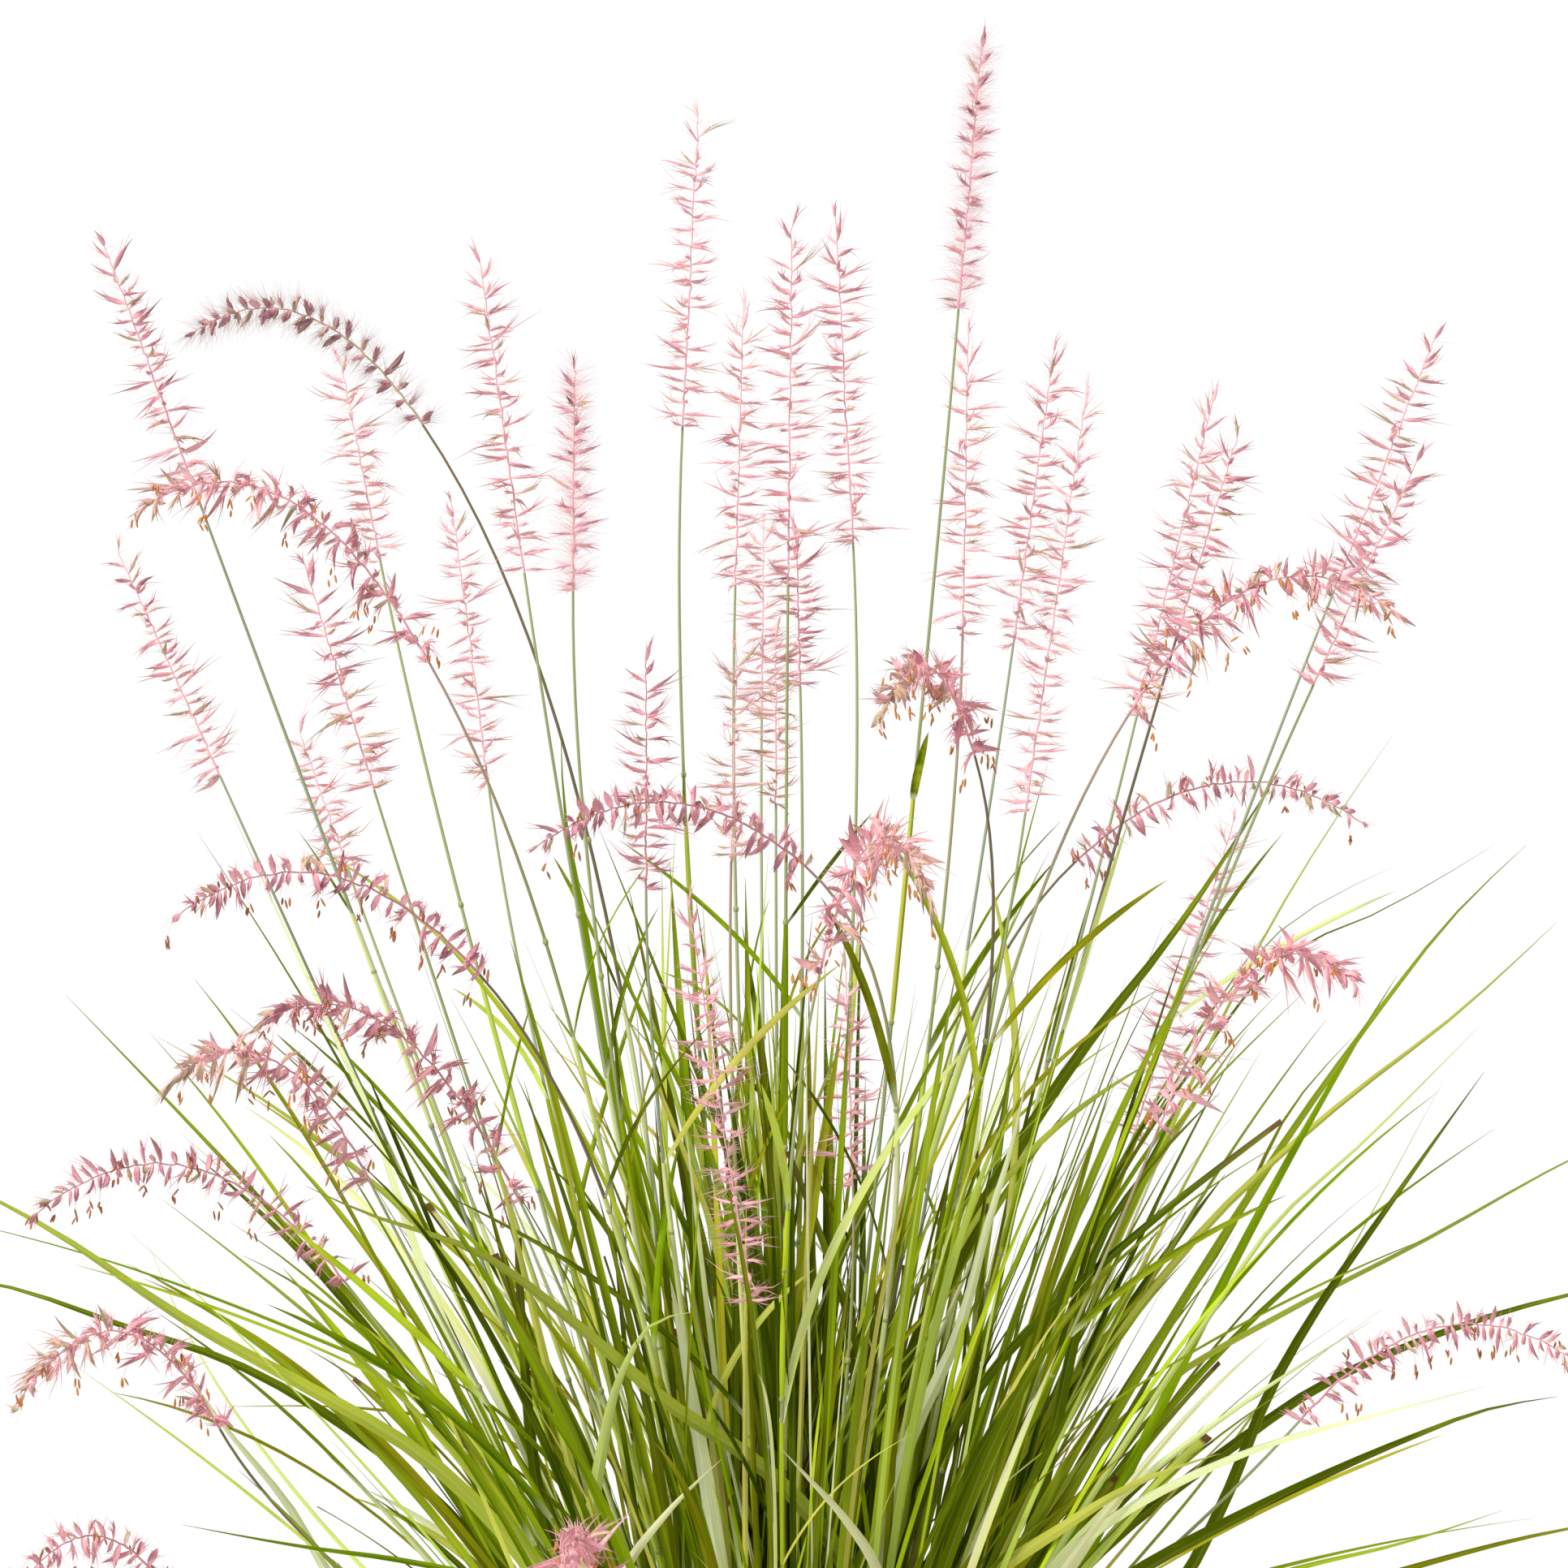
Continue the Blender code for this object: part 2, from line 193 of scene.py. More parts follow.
# How the leaves that fill a tuft grow. Stray is the share of them that strays, headings and root
# headings how far in degrees the others spread about the tuft's own, roots the distances from the
# crown's middle where they start, splay and arch how many degrees they lean more at the foot and bend
# over on their way, stray lean how much of its lean a stray leaf has, and top how high they may reach.
FILLS = {
    "arching": dict(stray=0.24, headings=16, root_headings=26, roots=(0.030, 0.060), splay=(5, 42),
                    arch=(6, 52), length=(0.20, 0.47), stray_lean=0.7, top=0.72),
    "upright": dict(stray=0.50, headings=60, root_headings=80, roots=(0.0, 0.050), splay=(0, 25),
                    arch=(0, 24), length=(0.26, 0.48), stray_lean=2.0, top=0.80),
}
LEAF_REACH = (0.320, 0.360)   # how far across and in depth the tip of a seeded leaf may be
ROOT_DEPTH = 0.01             # how far below the crown's top leaves start

# The leaves that stand out on the front elevation: width, depth of the tip, tint from dark (0) to pale
# (1), whether the end is cut off, and the places across and up that the leaf passes on its way out.
LONG_LEAVES = [
    (0.0055, -0.12, 0.45, False, (-0.186, 0.507), (-0.258, 0.587), (-0.354, 0.688)),
    (0.0050, 0.05, 0.50, False, (-0.188, 0.582), (-0.236, 0.622), (-0.308, 0.667)),
    (0.0028, -0.05, 0.12, False, (-0.195, 0.610), (-0.231, 0.676), (-0.289, 0.768)),
    (0.0085, 0.08, 0.88, False, (-0.188, 0.578), (-0.203, 0.625), (-0.226, 0.676), (-0.272, 0.778)),
    (0.0030, 0.12, 0.40, False, (-0.186, 0.499), (-0.236, 0.521), (-0.336, 0.558), (-0.420, 0.580)),
    (0.0085, -0.02, 0.55, False, (-0.186, 0.466), (-0.227, 0.490), (-0.297, 0.529), (-0.361, 0.572),
     (-0.425, 0.605)),
    (0.0060, 0.10, 0.10, False, (-0.220, 0.478), (-0.272, 0.507), (-0.323, 0.524), (-0.386, 0.545),
     (-0.440, 0.552)),
    (0.0042, -0.16, 0.55, False, (-0.186, 0.487), (-0.233, 0.529), (-0.306, 0.587)),
    (0.0030, 0.20, 0.30, False, (-0.150, 0.475), (-0.186, 0.482), (-0.277, 0.485)),
    (0.0042, -0.25, 0.35, False, (-0.140, 0.398), (-0.186, 0.409), (-0.236, 0.416), (-0.297, 0.427)),
    (0.0045, -0.22, 0.50, False, (-0.190, 0.375), (-0.220, 0.405), (-0.246, 0.433), (-0.269, 0.454)),
    (0.0065, -0.10, 0.92, False, (-0.226, 0.405), (-0.242, 0.433), (-0.278, 0.478), (-0.305, 0.517)),
    (0.0028, 0.15, 0.80, False, (-0.230, 0.430), (-0.291, 0.516), (-0.314, 0.567)),
    (0.0055, 0.06, 0.45, False, (0.194, 0.533), (0.260, 0.635), (0.295, 0.683), (0.330, 0.727),
     (0.366, 0.762)),
    (0.0055, -0.08, 0.62, False, (0.216, 0.582), (0.274, 0.634), (0.333, 0.680), (0.381, 0.724)),
    (0.0025, 0.15, 0.15, False, (0.200, 0.650), (0.252, 0.711), (0.289, 0.727), (0.350, 0.762)),
    (0.0020, 0.18, 0.40, False, (0.190, 0.640), (0.245, 0.720), (0.300, 0.751)),
    (0.0095, 0.08, 0.08, False, (0.075, 0.540), (0.118, 0.618), (0.152, 0.668), (0.187, 0.712),
     (0.245, 0.800)),
    (0.0036, -0.14, 0.75, False, (0.212, 0.533), (0.239, 0.572), (0.286, 0.616), (0.342, 0.672)),
    (0.0080, -0.05, 0.08, False, (0.201, 0.405), (0.217, 0.437), (0.242, 0.497), (0.263, 0.533),
     (0.296, 0.581), (0.345, 0.650)),
    (0.0022, 0.20, 0.55, False, (0.250, 0.510), (0.286, 0.574), (0.324, 0.644)),
    (0.0045, 0.14, 0.35, False, (0.236, 0.533), (0.296, 0.584), (0.350, 0.622)),
    (0.0055, 0.02, 0.55, False, (0.191, 0.498), (0.251, 0.533), (0.318, 0.568), (0.386, 0.606),
     (0.436, 0.630)),
    (0.0058, -0.10, 0.05, True, (0.100, 0.500), (0.172, 0.569), (0.245, 0.626)),
    (0.0065, 0.10, 0.10, False, (0.162, 0.420), (0.220, 0.465), (0.262, 0.494), (0.320, 0.520),
     (0.386, 0.540), (0.445, 0.550)),
    (0.0050, -0.18, 0.85, False, (0.162, 0.437), (0.227, 0.487), (0.289, 0.527)),
    (0.0080, -0.20, 0.90, False, (0.162, 0.431), (0.191, 0.447), (0.242, 0.468), (0.291, 0.481),
     (0.345, 0.495)),
    (0.0090, -0.12, 0.12, False, (0.170, 0.400), (0.220, 0.428), (0.254, 0.445), (0.305, 0.468),
     (0.348, 0.484), (0.381, 0.490)),
    (0.0042, -0.25, 0.45, False, (0.200, 0.388), (0.251, 0.405), (0.305, 0.418), (0.354, 0.434)),
    (0.0065, 0.05, 0.30, False, (0.200, 0.370), (0.305, 0.405), (0.386, 0.425), (0.436, 0.432)),
    (0.0040, 0.12, 0.60, False, (0.166, 0.533), (0.209, 0.616), (0.235, 0.660)),
    (0.0042, -0.02, 0.45, False, (0.160, 0.560), (0.201, 0.634), (0.220, 0.654), (0.257, 0.690)),
    (0.0050, 0.10, 0.30, False, (0.194, 0.533), (0.216, 0.565), (0.252, 0.635), (0.280, 0.667)),
    (0.0030, 0.05, 0.50, False, (0.180, 0.600), (0.250, 0.740), (0.300, 0.816)),
    (0.0048, -0.03, 0.15, False, (-0.020, 0.590), (-0.048, 0.663), (-0.091, 0.770)),
    (0.0080, 0.04, 0.35, False, (-0.076, 0.600), (-0.089, 0.663), (-0.099, 0.727), (-0.108, 0.778),
     (-0.110, 0.818)),
    (0.0050, 0.02, 0.60, False, (-0.060, 0.587), (-0.059, 0.663), (-0.053, 0.778)),
    (0.0056, -0.06, 0.40, False, (-0.031, 0.593), (-0.048, 0.638), (-0.071, 0.681), (-0.104, 0.750)),
    (0.0095, -0.16, 0.80, False, (-0.095, 0.405), (-0.090, 0.461), (-0.078, 0.506), (-0.066, 0.525),
     (-0.044, 0.532)),
    (0.0100, -0.22, 0.55, False, (0.030, 0.405), (-0.008, 0.452), (-0.057, 0.486), (-0.101, 0.524),
     (-0.149, 0.560), (-0.210, 0.582), (-0.236, 0.594)),
    (0.0070, -0.20, 0.95, False, (-0.078, 0.405), (-0.060, 0.430), (-0.031, 0.459)),
    (0.0080, -0.24, 1.00, False, (0.046, 0.405), (0.030, 0.430), (0.012, 0.450), (-0.002, 0.465)),
    (0.0050, 0.02, 0.40, False, (0.095, 0.640), (0.102, 0.678), (0.108, 0.714), (0.130, 0.802)),
    (0.0082, -0.15, 0.88, False, (0.045, 0.405), (0.062, 0.468), (0.085, 0.519), (0.101, 0.577),
     (0.112, 0.613), (0.121, 0.655)),
    (0.0095, -0.10, 0.05, False, (0.120, 0.420), (0.130, 0.461), (0.143, 0.520), (0.155, 0.566),
     (0.175, 0.597), (0.215, 0.640)),
    (0.0085, -0.20, 0.62, False, (0.100, 0.400), (0.135, 0.424), (0.173, 0.447), (0.215, 0.462)),
    (0.0066, -0.12, 0.10, True, (-0.118, 0.430), (-0.128, 0.510), (-0.131, 0.568)),
    (0.0055, -0.04, 0.08, True, (0.040, 0.500), (0.018, 0.570), (0.002, 0.611)),
    (0.0050, 0.02, 0.15, True, (0.095, 0.500), (0.098, 0.560), (0.095, 0.611)),
]

# Shares of a strand's length and of its full width there
LEAF_OUTLINE = ((0.0, 0.55), (0.08, 0.85), (0.25, 1.0), (0.55, 0.95), (0.76, 0.74), (0.90, 0.40),
                (1.0, 0.02))
LONG_OUTLINE = ((0.0, 0.55), (0.08, 0.85), (0.25, 1.0), (0.50, 0.86), (0.70, 0.60), (0.85, 0.34),
                (1.0, 0.02))
AWNED_OUTLINE = ((0.0, 0.25), (0.16, 0.80), (0.36, 1.0), (0.58, 0.66), (0.76, 0.26), (1.0, 0.04))
PLUMP_OUTLINE = ((0.0, 0.22), (0.22, 0.80), (0.50, 1.0), (0.78, 0.66), (0.92, 0.30), (1.0, 0.05))
WISP_OUTLINE = ((0.0, 0.5), (0.35, 1.0), (0.7, 0.7), (1.0, 0.1))
CULM_OUTLINE = ((0.0, 1.15), (0.7, 0.85), (1.0, 0.62))
SHEATH_OUTLINE = ((0.0, 1.05), (0.125, 1.4), (0.8, 1.3), (1.0, 1.1))
SPIKE_OUTLINE = ((0.0, 0.85), (0.1, 1.0), (0.75, 0.92), (1.0, 0.62))

# Bands of the map: leaves wear a row of tint bands, and each other finish has a stretch of its own
LEAF_BANDS = 16
HUE_START = 0.30              # how fresh (0) or tired (1) the first band's green is
HUE_STEP = 0.158              # and how much that changes from band to band
BAND_MARGIN = 0.04            # share of a band that stays clear on each side
LEAF_ROWS = (0.0, 1.0)        # a tuft's leaves take the whole map
GREEN_ROWS = (0.0, 0.47)      # the part of a stem's map for its leaves and sheaths
ROSE_ROWS = (0.53, 1.0)       # the part for everything else on it
CULM_BAND = (0.01, 0.19)
AXIS_BAND = (0.22, 0.30)
SPIKELET_BAND = (0.33, 0.70)
BRISTLE_BAND = (0.73, 0.87)
ANTHER_BAND = (0.90, 0.99)
BED_BAND = (0.01, 0.71)
CRUMB_BAND = (0.76, 0.98)
GRAIN_WIDTH = 0.006           # how much of a band one small strand takes
CULM_WIDTH = 0.02             # how much of it a culm takes
AXIS_WIDTH = 0.01             # and how much an axis
CAP_WIDTH = 0.02              # share of a strand's rows that the faces at its two ends take

# Tints and how often each comes up
LEAF_TINTS = ((0.06, 0.24), (0.25, 0.22), (0.45, 0.25), (0.68, 0.20), (0.94, 0.09))
CULM_TINTS = ((0.12, 0.38), (0.42, 0.27), (0.68, 0.20), (0.95, 0.15))

CURVE_STEPS = 12              # fine points for each gap between the knots of a smooth line
LEAF_STEPS = 24
LEAF_SHARES = np.linspace(0, 1, LEAF_STEPS + 1)
CUT_AT = 0.74                 # share of a whole leaf's length that a cut leaf keeps
LAST_GREEN = 0.955            # share of the map's rows that a leaf with a whole tip takes
CULM_STEPS = 28
JOINTS = ((0.14, 0.26), (0.32, 0.50), (0.58, 0.70))       # where on a culm its joints may be
JOINT_LENGTH = 0.0032
JOINT_SWELL = np.array([0.9, 1.15, 1.3, 1.15, 0.9])
SHEATH_LENGTH = 0.11
STEM_LEAF_TOP = 0.80          # how high the tip of a stem's leaf may be
AXIS_STEPS = 44
AXIS_WOBBLE = 0.00025
ENDS = (0.004, 0.998)         # where on the axis the first and the last spikelet may be
TOP_SPIKELET = 0.009          # how far the topmost spikelet stands past the end of the axis
SPIKELET_STEPS = 5
ANTHER_SWELL = 0.00062 * np.array([0.5, 1.0, 1.0, 0.45])
RIM_SLOPE = 0.0015            # how far the lower edge of the pot's rim band slopes up
ROUNDING = 0.0022             # how far the pot's edges are rounded
SOIL_GAP = 0.0008             # the gap between the soil and the wall low down
BED_SIDES = 96
BED_RINGS = 26                # rings of faces on top of the soil's bed
SIDE_RINGS = 6                # rings of faces on its side, and on its underside
LUMPS = ((55, 0.0022), (160, 0.0012))     # how close the bed's lumps lie, and how high they are
SHOOT_STEPS = 5
SHOOT_SWELL = np.array([0.9, 1.05, 1.0, 0.85, 0.62, 0.34])
FLOOR_LIGHT = (0.93, 0.93, 0.92)                          # the palest that the floor gets
SEEDS = {"crumbs": 5, "shoots": 7, "long leaves": 11, "tufts": 100, "stems": 1000}


def paint(red, green, blue):
    """A colour as the shader takes it, from the numbers 0 to 255 that a paint chart gives."""
    shares = (value / 255 for value in (red, green, blue))
    return tuple(s / 12.92 if s <= 0.04045 else ((s + 0.055) / 1.055) ** 2.4 for s in shares)


def colour_setting(name, about, *chart):
    """A colour that a user may change."""
    return bpy.props.FloatVectorProperty(
        name=name, description=about, default=paint(*chart), subtype="COLOR", size=3, min=0, max=1)


def length_setting(name, about, default):
    """A length that a user may change, in metres."""
    return bpy.props.FloatProperty(
        name=name, description=about, default=default, unit="LENGTH", min=0, precision=4)


def count_setting(name, about, default):
    """A number of things that a user may change."""
    return bpy.props.IntProperty(name=name, description=about, default=default, min=0)


def share_setting(name, about, default):
    """A share from 0 to 1 that a user may change."""
    return bpy.props.FloatProperty(
        name=name, description=about, default=default, subtype="FACTOR", min=0, max=1)


class PotSettings(bpy.types.PropertyGroup):
    """Sizes and colours of the pot, the soil and the crown."""

    base_radius: length_setting("Foot radius", "Outer radius of the pot at its foot", 0.112)
    wall: length_setting("Wall", "Thickness of the pot's wall", 0.007)
    floor: length_setting("Floor", "Thickness of the pot's floor", 0.012)
    rim_height: length_setting("Rim height", "Height of the thick band round the top", 0.026)
    rim_proud: length_setting("Rim depth", "How far the band stands out from the wall", 0.006)
    crumbs: count_setting("Crumbs", "Number of soil crumbs that lie loose on top", 1500)
    crumb_size: length_setting("Crumb size", "Middle width of a soil crumb", 0.0042)
    shoots: count_setting("Shoots", "Number of shoot bases packed in the crown", 150)
    clay: colour_setting("Clay", "Main colour of the pot", 178, 104, 72)
    clay_light: colour_setting("Pale clay", "Dry, limy patches on the pot", 214, 158, 128)
    clay_dark: colour_setting("Dark clay", "Fired and damp patches on the pot", 150, 80, 54)
    soil: colour_setting("Soil", "Damp soil", 52, 38, 28)
    crumb: colour_setting("Crumb", "Dry crumbs and bark", 104, 78, 56)
    shoot_pale: colour_setting("Pale shoot", "Sheaths at the foot of the leaves", 176, 182, 120)
    shoot_straw: colour_setting("Straw", "Old dry sheaths", 182, 158, 108)


class FlowerSettings(bpy.types.PropertyGroup):
    """Sizes and colours of the flowering stems."""

    culm_radius: length_setting("Stem radius", "Radius of a flowering stem low down", 0.0010)
    axis_radius: length_setting("Axis radius", "Radius of a spike's axis", 0.00042)
    bristle_radius: length_setting("Bristle radius", "Radius of a bristle at its foot", 0.00009)
    wisp_radius: length_setting("Wisp radius", "Radius of the soft wisps beside a spikelet", 0.00025)
    anther_length: length_setting("Anther", "Length of an anther", 0.0044)
    stem_green: colour_setting("Stem green", "Stems low down", 164, 172, 100)
    stem_blue: colour_setting("Stem blue", "Bluish, waxy stems", 146, 160, 126)
    stem_brown: colour_setting("Stem brown", "Sunburnt stems", 112, 100, 70)
    stem_mauve: colour_setting("Stem mauve", "Stems just below the spike", 184, 140, 146)
    olive: colour_setting("Olive", "Unripe spikelets", 160, 156, 112)
    straw: colour_setting("Straw", "Ripe spikelets", 218, 192, 156)
    blush: colour_setting("Blush", "Palest spikelets", 248, 194, 198)
    rose: colour_setting("Rose", "Spikelets in full colour", 230, 162, 172)
    dusky: colour_setting("Dusky rose", "Darker spikelets", 186, 120, 134)
    mauve: colour_setting("Mauve", "Darkest spikelets", 112, 80, 80)
    ripe: colour_setting("Ripe brown", "Ends of ripe spikelets", 138, 104, 80)
    bristle_grey: colour_setting("Grey bristle", "Bristles of the smoky spikes", 186, 176, 172)
    haze: colour_setting("Haze", "Bristles of most spikes", 255, 218, 222)
    anther_gold: colour_setting("Gold anther", "Fresh anthers", 212, 140, 62)
    anther_brown: colour_setting("Brown anther", "Spent anthers", 158, 96, 72)


class LeafSettings(bpy.types.PropertyGroup):
    """Sizes and colours of the leaves."""

    outer_leaves: count_setting("Outer leaves", "Leaves in each arching tuft", 29)
    inner_leaves: count_setting("Inner leaves", "Leaves in each upright tuft", 47)
    width: length_setting("Leaf width", "Middle width of a leaf", 0.0047)
    thickness: length_setting("Leaf thickness", "Thickness of a blade", 0.00035)
    cut_share: share_setting("Cut leaves", "Share of the leaves whose end is cut off", 0.10)
    dark: colour_setting("Dark green", "The darkest leaves", 66, 81, 0)
    middle: colour_setting("Leaf green", "Most leaves", 137, 155, 6)
    # Light green is also painted on one half of each blade's fold as painted light, standing for its lit
    # side.
    light: colour_setting("Light green", "Young leaves", 214, 224, 48)
    sage: colour_setting("Sage", "Waxy leaves and undersides", 232, 238, 192)
    margin: colour_setting("Margin", "Thin brownish edge of a blade", 138, 112, 62)
    cut_end: colour_setting("Cut end", "Dried end of a cut leaf", 104, 80, 48)
    fresh: colour_setting("Fresh glaze", "Glaze over the greenest leaves", 226, 255, 172)
    tired: colour_setting("Tired glaze", "Glaze over the leaves that turn", 255, 233, 222)


class StudioSettings(bpy.types.PropertyGroup):
    """The floor, the light and the camera."""

    view_width: length_setting("View width", "Width that the camera sees at the clump", 0.7728)
    floor_radius: length_setting("Floor", "Radius of the floor", 3.2)
    floor_colour: colour_setting("Floor colour", "Plain pale floor", 240, 239, 237)
    key_strength: bpy.props.FloatProperty(name="Key light", description="Main soft light", default=3.22)
    fill_strength: bpy.props.FloatProperty(name="Fill light", description="Light from behind", default=0.8)
    sky_strength: bpy.props.FloatProperty(name="Sky", description="Soft light all round", default=0.46)


class ClumpSettings(bpy.types.PropertyGroup):
    """All settings of the clump."""

    pot: bpy.props.PointerProperty(type=PotSettings, name="Pot", description="Pot, soil and crown")
    flower: bpy.props.PointerProperty(type=FlowerSettings, name="Flowers", description="Flowering stems")
    leaf: bpy.props.PointerProperty(type=LeafSettings, name="Leaves", description="Leaves")
    studio: bpy.props.PointerProperty(type=StudioSettings, name="Studio", description="Floor and light")


# ---------------------------------------------------------------- finishes


def both_ways(operation):
    """The two methods of one arithmetic sign: with the wire on its left and on its right."""
    return (lambda self, other: self.maths(operation, other),
            lambda self, other: self.node("ShaderNodeMath", {"operation": operation}, {0: other, 1: self}))


class Wire:
    """The output of a shader node. Arithmetic on it adds Math nodes to the same material."""

    def __init__(self, tree, socket=None):
        self.tree = tree
        self.socket = socket

    def node(self, kind, settings=None, inputs=None, output=0):
        """Adds a node, with its settings first and then the values or wires of its sockets."""
        made = self.tree.nodes.new(kind)
        for name, value in (settings or {}).items():
            if name == "stops":
                stops = made.color_ramp.elements
                while len(stops) < len(value):
                    stops.new(1.0)
                for stop, (position, colour) in zip(stops, value):
                    stop.position = position
                    stop.color = (*colour, 1)
            else:
                setattr(made, name, value)
        for name, value in (inputs or {}).items():
            if isinstance(value, Wire):
                self.tree.links.new(value.socket, made.inputs[name])
            else:
                made.inputs[name].default_value = value
        return Wire(self.tree, made.outputs[output])

    def maths(self, operation, *others):
        """A Math node on this wire and other wires or numbers."""
        return self.node("ShaderNodeMath", {"operation": operation}, dict(enumerate((self, *others))))

    __add__, __radd__ = both_ways("ADD")
    __sub__, __rsub__ = both_ways("SUBTRACT")
    __mul__, __rmul__ = both_ways("MULTIPLY")
    __truediv__, __rtruediv__ = both_ways("DIVIDE")

    def band(self, low, high):
        """0 below low, 1 above high and straight in between, or the other way round."""
        return self.node("ShaderNodeMapRange", {"clamp": True},
                         {"Value": self, "From Min": low, "From Max": high})

    def ramp(self, *stops):
        """A colour ramp read at this wire."""
        return self.node("ShaderNodeValToRGB", {"stops": stops}, {"Fac": self})

    def coats(self, *coats, blend="MIX"):
        """This colour under some coats, each another colour and its share, laid one after the other."""
        colour = self
        settings = {"data_type": "RGBA", "blend_type": blend, "clamp_factor": True}
        for coat, share in coats:
            coat = coat if isinstance(coat, Wire) else (*coat, 1)
            colour = self.node("ShaderNodeMix", settings, {0: share, 6: colour, 7: coat}, output=2)
        return colour


class Finish(Wire):
    """A new material, and the wire that its nodes are built from."""

    def __init__(self, name, roughness, specular):
        self.material = bpy.data.materials.new(name)
        self.material.use_nodes = True
        super().__init__(self.material.node_tree)
        self.surface = self.tree.nodes["Principled BSDF"].inputs
        self.surface["Roughness"].default_value = roughness
        self.surface["Specular IOR Level"].default_value = specular

    def chart(self):
        """The two coordinates of the piece's own map."""
        spot = self.node("ShaderNodeUVMap", {"uv_map": MAP_NAME})
        return [self.node("ShaderNodeSeparateXYZ", inputs={0: spot}, output=axis) for axis in (0, 1)]

    def places(self):
        """Places on the piece, in metres."""
        return self.node("ShaderNodeTexCoord", output=3)

    def noise(self, where, scale, detail, roughness=0.5):
        """Cloudy noise with so many lumps to the metre."""
        return self.node("ShaderNodeTexNoise", inputs={
            "Vector": where, "Scale": scale, "Detail": detail, "Roughness": roughness})

    def feed(self, socket, wire):
        """Links a wire to a socket of the surface."""
        self.tree.links.new(wire.socket, self.surface[socket])

    def raise_by(self, height, strength, distance):
        """Raises the surface where the height is more."""
        self.feed("Normal", self.node("ShaderNodeBump", inputs={
            "Height": height, "Strength": strength, "Distance": distance}))

    def coloured(self, colour):
        """Gives the surface its colour and hands the material over."""
        self.feed("Base Color", colour)
        return self.material


def darker(colour, share):
    """A share of a colour's own light."""
    return tuple(share * value for value in colour)


def leaf_finish(name, leaf, rows):
    """The leaf blades: ribbed, two-toned along the keel by painted light (one half of the fold painted
    lighter as its lit side), sage below, pale at the foot, brown at a cut.
    """
    made = Finish(name, 0.50, 0.0)
    u, v = made.chart()
    along = v.band(*rows)
    number = (u * LEAF_BANDS).maths("FLOOR")
    tint = number / (LEAF_BANDS - 1)
    mood = (number * HUE_STEP + HUE_START).maths("FRACT")
    ring = ((u * LEAF_BANDS).maths("FRACT") - BAND_MARGIN) / (1 - 2 * BAND_MARGIN)
    below = ring.maths("GREATER_THAN", 0.5)
    across = (ring * 2).maths("FRACT")
    painted_lit_half = across.maths("GREATER_THAN", 0.5)
    off_keel = (across - 0.5).maths("ABSOLUTE") * 2
    ribs = (off_keel * 26).maths("SINE") * 0.5 + 0.5
    wax = tint.band(0.45, 0.95)
    where = made.node("ShaderNodeCombineXYZ", inputs={0: tint * 37, 1: along * 5, 2: ring * 1.5})
    patches = made.noise(where, 1.0, 2.0)
    green = tint.ramp((0.0, leaf.dark), (0.45, leaf.middle), (0.76, leaf.light), (0.94, leaf.sage))
    green = green.coats(
        (leaf.dark, patches.band(0.48, 0.72) * 0.45),
        (leaf.light, patches.band(0.50, 0.28) * 0.35),
        # painted light: one half of each folded blade is painted lighter, standing for the side of the fold
        # that the light falls on
        (leaf.light, painted_lit_half * (tint * 0.30 + 0.06)),
        (leaf.sage, below * wax * 0.45),
        (leaf.dark, ribs * 0.15),
        (leaf.sage, off_keel.band(0.10, 0.03) * (wax * 0.45 + 0.06)),
        (leaf.margin, off_keel.band(0.92, 0.99) * 0.40),
    )
    green = green.coats(
        (leaf.fresh, mood.band(0.50, 0.05) * (1 - wax * 0.75)),
        (leaf.tired, mood.band(0.58, 0.95)),
        blend="MULTIPLY",
    )
    green = green.coats(
        (leaf.sage, along.band(0.10, 0.0) * 0.8),
        (leaf.margin, along.band(0.84, 0.95) * 0.35),
        (leaf.cut_end, along.band(0.978, 0.986)),
    )
    made.raise_by(ribs, 0.25, 0.0002)
    return made.coloured(green)


def culm_finish(flower):
    """The stems: waxy green or brown low down, mauve just below the spike."""
    made = Finish("culm", 0.45, 0.4)
    u, v = made.chart()
    tint = u.band(*CULM_BAND)
    along = v.band(*ROSE_ROWS)
    stem = tint.ramp((0.0, flower.stem_green), (0.45, flower.stem_blue), (0.62, flower.stem_green),
                     (0.85, flower.stem_brown))
    mauve = along.band(0.70, 1.0) * tint.band(0.50, 0.62) * tint.band(0.85, 0.75)
    return made.coloured(stem.coats((flower.stem_mauve, mauve * 0.75)))


def spike_finish(flower):
    """The spike: its axis, its spikelets from olive over rose to mauve, and its bristles."""
    made = Finish("spikelet", 0.55, 0.25)
    u, v = made.chart()
    along = v.band(*ROSE_ROWS)
    axis = u.band(*AXIS_BAND).ramp(
        (0.0, flower.olive), (0.35, flower.blush), (0.65, flower.rose), (1.0, flower.dusky))
    spikelet = u.band(*SPIKELET_BAND).ramp(
        (0.0, flower.olive), (0.22, flower.straw), (0.42, flower.blush), (0.58, flower.rose),
        (0.78, flower.dusky), (1.0, flower.mauve))
    spikelet = spikelet.coats(
        (flower.blush, along.band(0.32, 0.05) * 0.75),
        (flower.dusky, along.band(0.28, 0.50) * along.band(0.70, 0.55) * 0.30),
        (flower.ripe, along.band(0.45, 0.80) * 0.85),
    )
    bristle = u.band(*BRISTLE_BAND).ramp(
        (0.0, flower.bristle_grey), (0.40, flower.haze), (0.60, flower.haze), (1.0, flower.rose))
    bristle = bristle.coats((flower.haze, along.band(0.3, 1.0) * 0.35))
    return made.coloured(axis.coats(
        (spikelet, u.maths("GREATER_THAN", (AXIS_BAND[1] + SPIKELET_BAND[0]) / 2)),
        (bristle, u.maths("GREATER_THAN", (SPIKELET_BAND[1] + BRISTLE_BAND[0]) / 2)),
    ))


